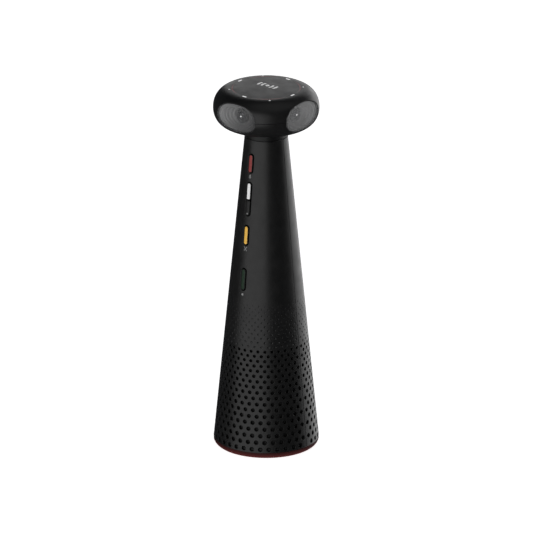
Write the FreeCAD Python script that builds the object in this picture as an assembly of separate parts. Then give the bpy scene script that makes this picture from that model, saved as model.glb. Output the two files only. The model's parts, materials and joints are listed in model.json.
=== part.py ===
"""Tower-shaped conference speakerphone: a tapered speaker body with side buttons, and a round camera head.

The body is a hollow cone of two half shells with a drilled speaker grille round its foot. The head is a
disc with a rounded edge and a flat oval camera window on each of its four sides.
Frame: +Z up, origin on the table under the body's axis. The buttons are on the -Y side, the sockets on +Y.
Units are millimetres. Each function makes one sub-part, or a group of identical ones.
"""

import FreeCAD
import Part

import math
import os

V = FreeCAD.Vector

# ---- driving dimensions ----
CONE_RADIUS = 42.6  # of the body's cone, carried down to the table
TAPER = 0.0975  # radius lost per millimetre of height
WALL = 2.2
SHELL_BOTTOM = 5.2
SHELL_TOP = 260.0
SEAM_GAP = 0.2

HEAD_BOTTOM = 268.7
HEAD_TOP = 300.0
HEAD_MIDDLE = 283.8
HEAD_RADIUS = 42.3
HEAD_FLAT_RADIUS = 27.5
HEAD_ROUNDNESS = 2.15  # 2 is an ellipse, and more is squarer
HEAD_WALL = 2.0
HEAD_CROWN = 0.5  # how far the top's middle stands above its edge

WINDOW_PLANE = 37.2  # from the axis to each flat camera window
WINDOW_HALF = (19.55, 11.55)  # half width and half height of the glass
WINDOW_ROUNDNESS = 2.24  # as the head's, for the oval of the glass
WINDOW_THICK = 1.6
WINDOW_SUNK = 0.1  # below the flat it is let into
GASKET_THICK = 0.6
GASKET_WIDTH = 1.5

HOLE_COLUMNS = 38
HOLE_ROWS = 18
HOLE_TOP_Z = 88.4
HOLE_PITCH = (3.82, 0.113)  # the first row's pitch, and what each lower row adds
HOLE_DIAMETER = (2.35, 3.65)  # in the top row and in the bottom row

PANEL_HALF_WIDTH = 16.0
PANEL_Z = (11.6, 32.0)
PORT_Z = 21.5
PORT_FLOOR_Y = 35.5
USB_X = -6.0
JACK_X = 6.5

BUTTON_WIDTH = 3.9
BUTTON_CORNER = 0.6
SLOT_WIDTH = 5.4
SLOT_MARGIN = 0.75
BUTTON_PROUD = 0.6
BUTTON_EDGE = 0.35  # fillet round the cap's face
# name: lowest and highest height of the cap, and whether its lower and upper ends are rounded
BUTTONS = {
    "mute": (233.6, 248.4, True, True),
    "volume_up": (211.4, 225.3, False, True),
    "volume_down": (198.4, 210.8, True, False),
    "mode": (174.3, 189.8, True, True),
    "power": (137.1, 154.4, True, True),
}
SLOTS = [("mute", "mute"), ("volume_down", "volume_up"), ("mode", "mode"), ("power", "power")]

# Depths below the body's surface, so negative, from the outside in
CAP_INNER = -2.9
FLANGE_INNER = -4.0
POST_INNER = -4.6
SWITCH_OUTER = -5.3
PLUNGER_INNER = -6.2
SWITCH_BORE_END = -7.2
BOARD_OUTER = -7.8
BOARD_INNER = -9.0
FLANGE_WIDTH = 6.2
FLANGE_MARGIN = 1.3  # how far the flange runs past a rounded end of its cap
POST_RADIUS = 1.2
PLUNGER_RADIUS = 1.3
PLUNGER_FIT = 0.1  # radial clearance in the switch
SWITCH_HALF = 3.0

PLATE_BOTTOM = 3.0
PLATE_TOP = 7.6
PLATE_RADIUS = 39.4
PLATE_SPIGOT = 36.4  # radius of the part of the plate inside the foot ring
BALLAST_TOP = 13.6
BALLAST_RADII = (37.0, 12.0)
FOOT_INNER = 34.0
FOOT_CONTACT = 38.6  # outer radius of the flat the unit stands on
FOOT_SHOULDER_Z = 3.2
BASE_SCREW_CIRCLE = 29.0

PANEL_FIT = 0.15
PANEL_FLOOR = 2.0
PANEL_RIM = 3.0
USB_MOUTH = (8.34, 2.56)
USB_WALL = 0.3
JACK_BORE = 2.85
JACK_PIN = 1.0
SOCKET_BACK = 27.1
BOARD_THICK = 1.6

SPEAKER_Z = 60.0  # the driver's mounting plane; it faces down
BOX_GAP = 2.0  # between the shells and the speaker box
BOX_WALL = 2.5
BOX_TOP = 126.0
BOX_MOUTH = 25.7
LEG_RADIUS = 2.0
LEG_CIRCLE = 30.6
DEFLECTOR_RADIUS = 24.5
DEFLECTOR_HEIGHT = 29.0
FLANGE_RADIUS = 28.2
CONE_EDGE = 22.2
SURROUND_OUTER = 25.1
COIL_RADII = (7.2, 6.65)
COIL_TOP = 81.0
CONE_NECK_Z = 68.6
POLE_RADIUS = 6.2
FRONT_PLATE_Z = (75.0, 78.0)
FRONT_PLATE_RADII = (14.3, 7.7)
MAGNET_TOP = 86.0
MAGNET_RADII = (13.8, 8.6)
YOKE_RADIUS = 14.5
YOKE_THICK = 3.0

SPINE_Y = (5.5, 8.5)
SPINE_HALF_WIDTH = 11.0
SPINE_FOOT = 3.0
SPINE_TOP = 258.0
CROWN_THICK = 4.0
CROWN_RADII = (14.2, 7.0)
MAIN_BOARD_Z = (134.0, 224.0)
MAIN_BOARD_BACK = 3.6
BUTTON_BOARD_Z = (134.0, 252.0)
BUTTON_BOARD_HALF = 7.0
CABLE_HALF_WIDTH = 4.0
CABLE_THICK = 0.3
CABLE_START = 212.0
NECK_INSET = 0.35
NECK_BORE = 8.5
SPIGOT_RADIUS = 12.8
SPIGOT_HEIGHT = 2.6
NECK_SCREW_CIRCLE = 10.9

POST_CIRCLE = 33.0
HEAD_POST_RADIUS = 2.4
CHASSIS_HALF = 19.9
CHASSIS_WALL = 2.4
CAMERA_BOARD_HALF = 7.5
CAMERA_BOARD_THICK = 1.2
LENS_Z = 284.0  # height of the windows' middles and of the lenses
LENS_FRONT = 30.5
LENS_RADIUS = 3.85
LENS_DOME = 5.6  # radius of the front glass's curve
BAFFLE_RADII = (5.9, 9.6)
MIC_BOARD_RADIUS = 31.2
MIC_BOARD_Z = (294.2, 295.4)
MIC_RADIUS = 29.4
MIC_HOLE = 0.85
LIGHT_RADIUS = 27.0
LIGHT_BAR = (4.2, 1.4)
ARC_HALF_WIDTH = 0.6
ARC_HALF_ANGLE = 33.0
ARC_DEPTH = 0.9

FAR = 60.0  # beyond the outside of the object, for cutting tools
SIDES = {"front": 0, "right": 90, "rear": 180, "left": 270}  # degrees about +Z from the -Y side
SLOPE = math.degrees(math.atan(TAPER))
WINDOW_SEAT = WINDOW_PLANE - WINDOW_SUNK - WINDOW_THICK - GASKET_THICK
CAMERA_BOARD_FACE = CHASSIS_HALF + CAMERA_BOARD_THICK
HEAD_EDGE_TOP = HEAD_TOP - HEAD_CROWN


# ---- helpers ----
def cone_radius(z, inset=0.0):
    """The body's outer radius at height z, less an inset."""
    return CONE_RADIUS - TAPER * z - inset


def spin(edges, degrees=360):
    """A solid of revolution about Z from the edges of a closed outline in the X-Z plane."""
    face = Part.Face(Part.Wire(Part.__sortEdges__(edges)))
    return face.revolve(V(0, 0, 0), V(0, 0, 1), degrees)


def ring(points, degrees=360):
    """A solid of revolution from a closed outline of (radius, height) corners."""
    outline = [V(r, 0, z) for r, z in points]
    return spin(Part.makePolygon(outline + outline[:1]).Edges, degrees)


def arc(*points):
    """The edge of an arc through three (radius, height) points."""
    return Part.Arc(*[V(r, 0, z) for r, z in points]).toShape()


def line(start, end):
    """A straight edge between two (radius, height) points."""
    return Part.makeLine(V(start[0], 0, start[1]), V(end[0], 0, end[1]))


def tube(outer, inner, z0, z1):
    """A straight tube on the axis, or a disc where inner is 0."""
    solid = Part.makeCylinder(outer, z1 - z0, V(0, 0, z0))
    return solid.cut(Part.makeCylinder(inner, z1 - z0, V(0, 0, z0))) if inner else solid


def box(x0, x1, y0, y1, z0, z1):
    return Part.makeBox(x1 - x0, y1 - y0, z1 - z0, V(x0, y0, z0))


def turned(shape, degrees):
    """A copy of a shape made on the -Y side, turned about Z to another side."""
    copy = shape.copy()
    copy.rotate(V(0, 0, 0), V(0, 0, 1), degrees)
    return copy


def around(shape, start=0, count=4):
    """Evenly turned copies of a shape made on the -Y side, as one compound."""
    return Part.makeCompound([turned(shape, start + 360 / count * k) for k in range(count)])


def lens_cylinder(radius, near, far):
    """A cylinder on the front lens's axis, from one distance off the body's axis to another."""
    return Part.makeCylinder(radius, far - near, V(0, -near, LENS_Z), V(0, -1, 0))


def conical_wall(outer_inset, inner_inset, z0, z1, degrees=360):
    """A wall that follows the body's taper, between two insets from its surface."""
    outline = [(cone_radius(z0, inner_inset), z0), (cone_radius(z0, outer_inset), z0)]
    outline += [(cone_radius(z1, outer_inset), z1), (cone_radius(z1, inner_inset), z1)]
    return ring(outline, degrees)


def rounded_bar(width, length, low, high, low_radius, high_radius):
    """A bar in the local X-Y plane, long along Y, with its own corner radius at each end."""
    half, end = width / 2, length / 2
    corners = [(1, -1, low_radius), (1, 1, high_radius), (-1, 1, high_radius), (-1, -1, low_radius)]
    arcs, lines = [], []
    for x, y, radius in corners:
        centre = V(x * (half - radius), y * (end - radius), low)
        side, tip = centre + V(x * radius, 0, 0), centre + V(0, y * radius, 0)
        middle = centre + V(x, y, 0) * (radius / math.sqrt(2))
        start, stop = (tip, side) if x * y < 0 else (side, tip)
        arcs.append(Part.Arc(start, middle, stop).toShape())
    for before, after in zip(arcs, arcs[1:] + arcs[:1]):
        start, stop = before.Vertexes[-1].Point, after.Vertexes[0].Point
        if start.distanceToPoint(stop) > 1e-6:
            lines.append(Part.makeLine(start, stop))
    return Part.Face(Part.Wire(Part.__sortEdges__(arcs + lines))).extrude(V(0, 0, high - low))


def stadium(width, length, low, high):
    """A bar with fully rounded ends."""
    return rounded_bar(width, length, low, high, width / 2, width / 2)


def on_front(shape, z):
    """Moves a shape from its local frame onto the body's -Y side at height z, local Z pointing outwards."""
    placed = shape.copy()
    placed.rotate(V(0, 0, 0), V(1, 0, 0), 90 - SLOPE)
    placed.translate(V(0, -cone_radius(z), z))
    return placed


# ---- body ----
def hole_rows():
    """Each grille row as (height, hole diameter, whether its columns are shifted by half a pitch)."""
    rows, z = [], HOLE_TOP_Z
    for k in range(HOLE_ROWS):
        share = k / (HOLE_ROWS - 1)
        diameter = HOLE_DIAMETER[0] + share * (HOLE_DIAMETER[1] - HOLE_DIAMETER[0])
        rows.append((z, diameter, (HOLE_ROWS - 1 - k) % 2 == 1))
        z -= HOLE_PITCH[0] + HOLE_PITCH[1] * k
    return rows


def grille_drills(keep_out=None):
    """Cylinders for the holes in the +Y half. The column on each seam is left solid."""
    step = 360 / HOLE_COLUMNS
    drills = []
    for z, diameter, shifted in hole_rows():
        for column in range(1 - shifted, HOLE_COLUMNS // 2):
            angle = math.radians((column + 0.5 * shifted) * step)
            out = V(math.cos(angle), math.sin(angle), 0)
            start = out * (cone_radius(z) - WALL - 2) + V(0, 0, z)
            middle = out * cone_radius(z) + V(0, 0, z)
            if keep_out and keep_out(middle):
                continue
            drills.append(Part.makeCylinder(diameter / 2, WALL + 4, start, out))
    return drills


def half_shell(drills):
    """The +Y half of the body's wall with its grille drilled."""
    wall = conical_wall(0, WALL, SHELL_BOTTOM, SHELL_TOP, 180)
    return wall.cut(box(-FAR, FAR, -1, SEAM_GAP / 2, 0, HEAD_TOP)).cut(drills)


def near_panel(point):
    """True for a hole that would break into the socket panel or the web round it."""
    web_x, web_z = 2.7, 1.0
    level = PANEL_Z[0] - web_z < point.z < PANEL_Z[1] + web_z
    return level and abs(point.x) < PANEL_HALF_WIDTH + web_x and point.y > 0


def rear_shell():
    window = box(-PANEL_HALF_WIDTH, PANEL_HALF_WIDTH, SOCKET_BACK, FAR, *PANEL_Z)
    return half_shell(grille_drills(near_panel)).cut(window)


def slot_cutter(low_name, high_name):
    low = BUTTONS[low_name][0] - SLOT_MARGIN
    high = BUTTONS[high_name][1] + SLOT_MARGIN
    return on_front(stadium(SLOT_WIDTH, high - low, -3 * WALL, WALL), (low + high) / 2)


def front_shell():
    shell = turned(half_shell(grille_drills()), 180)
    return shell.cut([slot_cutter(*pair) for pair in SLOTS])


def acoustic_cloth():
    """Black cloth bonded behind the grille, with a window for the socket panel."""
    gap, thick, overlap, margin = 0.1, 0.5, 5.0, 0.5
    cloth = conical_wall(WALL + gap, WALL + gap + thick, PLATE_TOP + gap, HOLE_TOP_Z + overlap)
    side = PANEL_HALF_WIDTH + margin
    return cloth.cut(box(-side, side, SOCKET_BACK, FAR, PANEL_Z[0] - margin, PANEL_Z[1] + margin))


# ---- base ----
def foot_ring():
    """Soft ring with a rounded outer edge. The unit stands on its flat underside."""
    lip = PLATE_SPIGOT + 0.1
    shoulder = (cone_radius(SHELL_BOTTOM, 0.1), FOOT_SHOULDER_Z)
    corners = [(FOOT_CONTACT, 0), (FOOT_INNER, 0), (FOOT_INNER, PLATE_BOTTOM), (lip, PLATE_BOTTOM)]
    corners += [(lip, SHELL_BOTTOM), (shoulder[0], SHELL_BOTTOM), shoulder]
    bulge = (shoulder[0] - 1.3, 1.2)
    sides = [line(*pair) for pair in zip(corners, corners[1:])]
    return spin(sides + [arc(shoulder, bulge, corners[0])])


def screw(length, head_radius, shank_radius, head_height):
    """A screw that points up from the origin, with a cross recess in its head."""
    solid = Part.makeCylinder(head_radius, head_height).fuse(Part.makeCylinder(shank_radius, length))
    reach, half_blade, depth = head_radius * 0.6, 0.35, 0.8
    cross = box(-reach, reach, -half_blade, half_blade, 0, depth)
    return solid.cut(cross.fuse(turned(cross, 90)))


def upright_cylinders(radius, z0, z1, circle, start=45, count=4):
    """Evenly spaced upright cylinders on a circle about the axis."""
    return around(Part.makeCylinder(radius, z1 - z0, V(0, -circle, z0)), start, count)


def base_plate():
    spigot = tube(PLATE_SPIGOT, 0, PLATE_BOTTOM, SHELL_BOTTOM)
    plate = tube(PLATE_RADIUS, 0, SHELL_BOTTOM, PLATE_TOP).fuse(spigot)
    shanks = upright_cylinders(1.6, 0, PLATE_TOP, BASE_SCREW_CIRCLE)
    heads = upright_cylinders(2.9, 0, PLATE_BOTTOM + 1.7, BASE_SCREW_CIRCLE)
    return plate.cut([shanks, heads])


def base_screws():
    one = screw(8.5, 2.6, 1.4, 1.5)
    one.translate(V(0, -BASE_SCREW_CIRCLE, PLATE_BOTTOM + 0.2))
    return around(one, 45)


def ballast_weight():
    """Iron ring with a flat on the back that clears the sockets."""
    threads = upright_cylinders(1.45, 0, BALLAST_TOP, BASE_SCREW_CIRCLE)
    flat = box(-FAR, FAR, PORT_FLOOR_Y - 3.5, FAR, 0, BALLAST_TOP)
    return tube(*BALLAST_RADII, PLATE_TOP, BALLAST_TOP).cut([threads, flat])


# ---- sockets ----
def port_panel():
    """Socket panel let into the rear shell: a flush rim round a sunken floor."""
    x, z0, z1 = PANEL_HALF_WIDTH - PANEL_FIT, PANEL_Z[0] + PANEL_FIT, PANEL_Z[1] - PANEL_FIT
    block = box(-x, x, PORT_FLOOR_Y - PANEL_FLOOR, FAR, z0, z1)
    panel = block.common(Part.makeCone(cone_radius(0), cone_radius(PANEL_Z[1]), PANEL_Z[1]))
    inner_x = x - PANEL_RIM
    panel = panel.cut(box(-inner_x, inner_x, PORT_FLOOR_Y, FAR, z0 + PANEL_RIM, z1 - PANEL_RIM))
    clearance = 0.2
    usb_width, usb_height = [size + 2 * (USB_WALL + clearance) for size in USB_MOUTH]
    usb = along_y(stadium_plate(usb_width, usb_height, FAR), SOCKET_BACK, USB_X)
    jack = along_y(Part.makeCylinder(JACK_BORE + 1.2, FAR), SOCKET_BACK, JACK_X)
    return panel.cut([usb, jack])


def stadium_plate(width, height, depth):
    """A stadium wide along X and tall along Y, that runs from Z 0 to its depth."""
    shape = stadium(height, width, 0, depth)
    shape.rotate(V(0, 0, 0), V(0, 0, 1), 90)
    return shape


def along_y(shape, y, x):
    """Points a shape's local Z at +Y, from y on, at the sockets' height."""
    placed = shape.copy()
    placed.rotate(V(0, 0, 0), V(1, 0, 0), -90)
    placed.translate(V(x, y, PORT_Z))
    return placed


def usb_c_socket():
    """Steel receptacle with the contact tongue inside it."""
    mouth, cavity = PORT_FLOOR_Y - 0.6, 6.2
    outside = [size + 2 * USB_WALL for size in USB_MOUTH]
    shell = along_y(stadium_plate(*outside, mouth - SOCKET_BACK), SOCKET_BACK, USB_X)
    hollow = along_y(stadium_plate(*USB_MOUTH, cavity), mouth - cavity, USB_X)
    half_width, half_thick, recess = 3.35, 0.35, 1.2
    tongue = box(-half_width, half_width, mouth - cavity, mouth - recess, -half_thick, half_thick)
    tongue.translate(V(USB_X, 0, PORT_Z))
    return shell.cut(hollow).fuse(tongue)


def power_jack():
    """Barrel jack: a square body behind the panel, with a round mouth and a centre pin."""
    half, shoulder, bore_end = 4.5, PORT_FLOOR_Y - PANEL_FLOOR - 0.1, 29.0
    body = box(-half, half, SOCKET_BACK, shoulder, -half, half)
    body.translate(V(JACK_X, 0, PORT_Z))
    mouth = along_y(Part.makeCylinder(JACK_BORE + 1.05, PORT_FLOOR_Y - 0.1 - shoulder), shoulder, JACK_X)
    bore = along_y(Part.makeCylinder(JACK_BORE, FAR), bore_end, JACK_X)
    pin = along_y(Part.makeCylinder(JACK_PIN, PORT_FLOOR_Y - 1.0 - bore_end), bore_end, JACK_X)
    return body.fuse(mouth).cut(bore).fuse(pin)


def port_board():
    half, top = 15.0, PORT_Z + 7
    return box(-half, half, SOCKET_BACK - BOARD_THICK, SOCKET_BACK, BALLAST_TOP, top)


# ---- speaker ----
def speaker_box():
    """Sealed enclosure above the driver, which hangs from its floor."""
    outer, low, top = WALL + BOX_GAP, SPEAKER_Z, BOX_TOP
    inner, floor, roof = outer + BOX_WALL, low + BOX_WALL, top - BOX_WALL
    return ring(
        [
            (BOX_MOUTH, low),
            (cone_radius(low, outer), low),
            (cone_radius(top, outer), top),
            (0, top),
            (0, roof),
            (cone_radius(roof, inner), roof),
            (cone_radius(floor, inner), floor),
            (BOX_MOUTH, floor),
        ]
    )


def driver_frame():
    """Basket with a flange below and four open windows in its cone."""
    low, lip, throat, wall = SPEAKER_Z - 2.0, SURROUND_OUTER + 0.1, FRONT_PLATE_RADII[0] + 0.1, 1.2
    seat, top = FRONT_PLATE_Z[0], FRONT_PLATE_Z[1] - 0.5
    frame = ring(
        [
            (lip, low),
            (FLANGE_RADIUS, low),
            (FLANGE_RADIUS, SPEAKER_Z),
            (lip + 0.2, SPEAKER_Z),
            (lip + 0.2, SPEAKER_Z + 3),
            (throat + wall, seat),
            (throat + wall, top),
            (throat, top),
            (throat, seat - 0.4),
            (lip - wall, SPEAKER_Z + 2.4),
            (lip - wall, SPEAKER_Z + 0.6),
            (lip, SPEAKER_Z + 0.6),
        ]
    )
    half_window = 5.5
    return frame.cut(around(box(-half_window, half_window, -FAR, 0, SPEAKER_Z + 4.5, seat - 2.5)))


def driver_yoke():
    """Steel back plate with its pole."""
    tip, top = FRONT_PLATE_Z[0] - 1, MAGNET_TOP + YOKE_THICK
    pole = [(0, tip), (POLE_RADIUS, tip), (POLE_RADIUS, MAGNET_TOP)]
    return ring(pole + [(YOKE_RADIUS, MAGNET_TOP), (YOKE_RADIUS, top), (0, top)])


def driver_front_plate():
    """Steel ring round the coil gap, held by the frame's neck."""
    return tube(*FRONT_PLATE_RADII, *FRONT_PLATE_Z)


def driver_magnet():
    return tube(*MAGNET_RADII, FRONT_PLATE_Z[1], MAGNET_TOP)


def speaker_cone():
    """Paper cone that opens downwards, with a flat rim."""
    low, thick, rim = SPEAKER_Z + 0.6, 0.5, 0.6
    neck = COIL_RADII[0]
    under = [(neck, CONE_NECK_Z), (CONE_EDGE - rim, low), (CONE_EDGE, low)]
    return ring(under + [(CONE_EDGE, low + thick), (neck, CONE_NECK_Z + 0.8)])


def dust_cap():
    """Shallow dome over the coil, bulging down."""
    rim, top, thick, sag = 8.6, CONE_NECK_Z - 0.8, 0.4, 2.4
    radius = (rim**2 + sag**2) / (2 * sag)
    centre = V(0, 0, top - sag + radius)
    bowl = Part.makeSphere(radius, centre).cut(Part.makeSphere(radius - thick, centre))
    return bowl.common(box(-FAR, FAR, -FAR, FAR, 0, top))


def voice_coil():
    return tube(*COIL_RADII, CONE_NECK_Z, COIL_TOP)


def speaker_surround():
    """Rubber half roll between the cone's edge and the frame."""
    inner, outer, base, thick = CONE_EDGE + 0.1, SURROUND_OUTER, SPEAKER_Z + 0.55, 0.5
    middle = (inner + outer) / 2
    big = (outer - inner) / 2
    small = big - thick
    upper = arc((middle - small, base), (middle, base - small), (middle + small, base))
    lower = arc((middle - big, base), (middle, base - big), (middle + big, base))
    ends = [line((middle + s * small, base), (middle + s * big, base)) for s in (-1, 1)]
    return spin([upper, lower] + ends)


def spider():
    """Corrugated disc that centres the voice coil under the front plate."""
    inner, outer, z, wave, thick = COIL_RADII[0] + 0.1, FRONT_PLATE_RADII[0], 74.2, 0.5, 0.35
    half_folds = 8
    pitch = (outer - inner) / half_folds
    crest = [(inner + k * pitch, z - (wave if k % 2 else 0)) for k in range(half_folds + 1)]
    return ring(crest + [(r, h + thick) for r, h in reversed(crest)])


def speaker_legs():
    """Four posts that carry the speaker box above the base."""
    return upright_cylinders(LEG_RADIUS, BALLAST_TOP, SPEAKER_Z, LEG_CIRCLE)


def acoustic_deflector():
    """Spreads the downward sound out through the grille."""
    base, top, edge, blunt = BALLAST_TOP, BALLAST_TOP + DEFLECTOR_HEIGHT, 1.5, 1.6
    corners = [(blunt, top), (0, top), (0, base), (DEFLECTOR_RADIUS, base), (DEFLECTOR_RADIUS, base + edge)]
    flare = (DEFLECTOR_RADIUS * 0.41, base + DEFLECTOR_HEIGHT * 0.31)
    sides = [line(*pair) for pair in zip(corners, corners[1:])]
    return spin(sides + [arc(corners[-1], flare, corners[0])])


# ---- spine, boards and neck ----
def button_board():
    """Board that follows the body's slope behind the buttons."""
    low, high = BUTTON_BOARD_Z
    half, length = BUTTON_BOARD_HALF, high - low
    board = Part.makeBox(2 * half, length, BOARD_OUTER - BOARD_INNER, V(-half, -length / 2, BOARD_INNER))
    return on_front(board, (low + high) / 2)


def board_supports():
    """Arms that reach forward to the button board's back, with the head's cable between the upper two."""
    low, high = BUTTON_BOARD_Z
    near, width, reach = CABLE_HALF_WIDTH + 0.6, 2.2, 24.0
    arms = [box(x, x + width, -reach, SPINE_Y[0], high - 16, high - 12) for x in (-near - width, near)]
    arms.append(box(-3, 3, -reach, -17, BOX_TOP + SPINE_FOOT, low + 7))
    in_front = on_front(box(-FAR, FAR, low - high, high - low, BOARD_INNER, FAR), (low + high) / 2)
    return [arm.cut(in_front) for arm in arms]


def inner_spine():
    """Frame on top of the speaker box that holds the boards and carries the neck."""
    half, crown_z = SPINE_HALF_WIDTH, SPINE_TOP - CROWN_THICK
    foot = tube(cone_radius(BOX_TOP, WALL + BOX_GAP), 0, BOX_TOP, BOX_TOP + SPINE_FOOT)
    plate = box(-half, half, *SPINE_Y, BOX_TOP + SPINE_FOOT, crown_z)
    crown = tube(*CROWN_RADII, crown_z, SPINE_TOP)
    bosses = []
    for x in (-half + 3, half - 3):
        for z in (MAIN_BOARD_Z[0] + 5, MAIN_BOARD_Z[1] - 5):
            boss = Part.makeCylinder(2, SPINE_Y[0] - MAIN_BOARD_BACK, V(x, MAIN_BOARD_BACK, z), V(0, 1, 0))
            bosses.append(boss)
    spine = foot.fuse([plate, crown] + board_supports() + bosses)
    return spine.cut(upright_cylinders(1.25, crown_z, SPINE_TOP, NECK_SCREW_CIRCLE, 60, 3))


def neck_screws():
    head = 1.2
    one = screw(CROWN_THICK + head + 2.2, 2.0, 1.15, head)
    one.translate(V(0, -NECK_SCREW_CIRCLE, SPINE_TOP - CROWN_THICK - head))
    return around(one, 60, 3)


def main_board():
    """Main circuit board with its processor, memory and power chips."""
    face = MAIN_BOARD_BACK - BOARD_THICK
    half, low = SPINE_HALF_WIDTH, MAIN_BOARD_Z[0]
    board = box(-half, half, face, MAIN_BOARD_BACK, *MAIN_BOARD_Z)
    processor = box(-7, 7, face - 1.4, face, low + 42, low + 56)
    memory = box(-8, 0, face - 1.1, face, low + 26, low + 34)
    power_coil = box(2, 8, face - 1.6, face, low + 8, low + 18)
    radio = box(-5, 5, face - 1.1, face, low + 67, low + 74)
    return board.fuse([processor, memory, power_coil, radio])


def head_cable():
    """Flat flexible cable from the main board up through the neck to the head."""
    face = MAIN_BOARD_BACK - BOARD_THICK
    return box(-CABLE_HALF_WIDTH, CABLE_HALF_WIDTH, face - CABLE_THICK, face, CABLE_START, MIC_BOARD_Z[0])


def neck_collar():
    """Neck that continues the taper, with a spigot down into the body and one up into the head."""
    top, seam = HEAD_BOTTOM + SPIGOT_HEIGHT, SHELL_TOP + 0.1
    outline = [(NECK_BORE, SPINE_TOP), (CROWN_RADII[0], SPINE_TOP), (CROWN_RADII[0], seam)]
    outline.append((cone_radius(SHELL_TOP, NECK_INSET), seam))
    outline.append((cone_radius(HEAD_BOTTOM, NECK_INSET), HEAD_BOTTOM))
    outline += [(SPIGOT_RADIUS, HEAD_BOTTOM), (SPIGOT_RADIUS, top), (NECK_BORE, top)]
    threads = upright_cylinders(1.2, SPINE_TOP, SPINE_TOP + 2.6, NECK_SCREW_CIRCLE, 60, 3)
    return ring(outline).cut(threads)


# ---- head ----
def round_edge(inset):
    """The head's rounded edge from its top flat down to its bottom flat, and the two ends."""
    steps, points = 12, []
    reach = HEAD_RADIUS - HEAD_FLAT_RADIUS - inset
    for k in range(steps + 1):
        angle = math.pi / 2 - math.pi * k / steps
        half = (HEAD_EDGE_TOP - HEAD_MIDDLE if angle > 0 else HEAD_MIDDLE - HEAD_BOTTOM) - inset
        r = HEAD_FLAT_RADIUS + reach * abs(math.cos(angle)) ** (2 / HEAD_ROUNDNESS)
        z = HEAD_MIDDLE + math.copysign(half * abs(math.sin(angle)) ** (2 / HEAD_ROUNDNESS), angle)
        points.append(V(r, 0, z))
    curve = Part.BSplineCurve()
    curve.interpolate(Points=points, InitialTangent=V(1, 0, 0), FinalTangent=V(-1, 0, 0))
    return curve.toShape(), (points[0].x, points[0].z), (points[-1].x, points[-1].z)


def head_form(inset, half_flat):
    """The head's whole form less an inset, cut flat at a distance from the axis on four sides."""
    edge, top, bottom = round_edge(inset)
    crown = HEAD_CROWN if inset == 0 else 0.0
    peak, floor = (0, top[1] + crown), (0, bottom[1])
    rise = arc(peak, (top[0] / 2, top[1] + 0.75 * crown), top) if crown else line(peak, top)
    form = spin([rise, edge, line(bottom, floor), line(floor, peak)])
    return form.common(box(-half_flat, half_flat, -half_flat, half_flat, 0, HEAD_TOP + 1))


def oval(shrink, near, far):
    """An oval prism about the front lens's axis, smaller than the window all round by a shrink."""
    count, power, points = 32, 2 / WINDOW_ROUNDNESS, []
    for k in range(count):
        angle = 2 * math.pi * k / count
        x = math.copysign(abs(math.cos(angle)) ** power, math.cos(angle))
        y = math.copysign(abs(math.sin(angle)) ** power, math.sin(angle))
        points.append(V((WINDOW_HALF[0] - shrink) * x, (WINDOW_HALF[1] - shrink) * y, 0))
    curve = Part.BSplineCurve()
    curve.interpolate(Points=points, PeriodicFlag=True)
    solid = Part.Face(Part.Wire([curve.toShape()])).extrude(V(0, 0, far - near))
    solid.rotate(V(0, 0, 0), V(1, 0, 0), 90)
    solid.translate(V(0, -near, LENS_Z))
    return solid


def head_shell():
    """The whole hollow head with its four window seats, before it is split into two covers."""
    lip, fit = 1.4, 0.1
    shell = head_form(0, WINDOW_PLANE).cut(head_form(HEAD_WALL, WINDOW_SEAT - lip))
    seat = oval(-fit, WINDOW_SEAT, FAR)
    opening = oval(GASKET_WIDTH, WINDOW_SEAT - 2 * lip, FAR)
    return shell.cut(around(seat.fuse(opening)))


def head_posts(z0, z1):
    """Screw posts inside the head, trimmed to its form."""
    inset = 0.5
    posts = upright_cylinders(HEAD_POST_RADIUS, z0, z1, POST_CIRCLE)
    return head_form(inset, WINDOW_PLANE - inset).common(posts)


def light_bar(clearance, top):
    """One white light, or its slot, from its chip up to a height."""
    length, width = [size + clearance for size in LIGHT_BAR]
    low = MIC_BOARD_Z[1] + 0.8
    bar = stadium_plate(length, width, top - low)
    bar.translate(V(0, -LIGHT_RADIUS, low))
    return bar


def light_arc(clearance, z0, z1):
    """One status light between two white lights, or its groove."""
    half_width, half_angle = ARC_HALF_WIDTH + clearance, ARC_HALF_ANGLE + 2 * clearance
    band = tube(LIGHT_RADIUS + half_width, LIGHT_RADIUS - half_width, z0, z1)
    wedge = Part.makeCylinder(FAR, z1 - z0, V(0, 0, z0), V(0, 0, 1), 2 * half_angle)
    wedge.rotate(V(0, 0, 0), V(0, 0, 1), -90 - half_angle)
    return band.common(wedge)


def head_top_cover():
    split = HEAD_MIDDLE + SEAM_GAP / 2
    cover = head_shell().common(box(-FAR, FAR, -FAR, FAR, split, HEAD_TOP + 1))
    cover = cover.fuse(head_posts(split, HEAD_EDGE_TOP - 1))
    grooves = around(light_arc(0.05, HEAD_EDGE_TOP - ARC_DEPTH, HEAD_TOP + 1), 45)
    sound_holes = upright_cylinders(MIC_HOLE, MIC_BOARD_Z[1], HEAD_TOP, MIC_RADIUS)
    threads = upright_cylinders(1.1, HEAD_MIDDLE, HEAD_MIDDLE + 8, POST_CIRCLE)
    return cover.cut([grooves, sound_holes, around(light_bar(0.1, HEAD_TOP + 1)), threads])


def head_lower_cover():
    split = HEAD_MIDDLE - SEAM_GAP / 2
    cover = head_shell().common(box(-FAR, FAR, -FAR, FAR, 0, split)).fuse(head_posts(HEAD_BOTTOM, split))
    neck_hole = tube(SPIGOT_RADIUS + 0.1, 0, 0, HEAD_MIDDLE)
    shanks = upright_cylinders(1.5, HEAD_BOTTOM, HEAD_MIDDLE, POST_CIRCLE)
    heads = upright_cylinders(2.3, HEAD_BOTTOM, HEAD_BOTTOM + 4.2, POST_CIRCLE)
    return cover.cut([neck_hole, shanks, heads])


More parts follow.
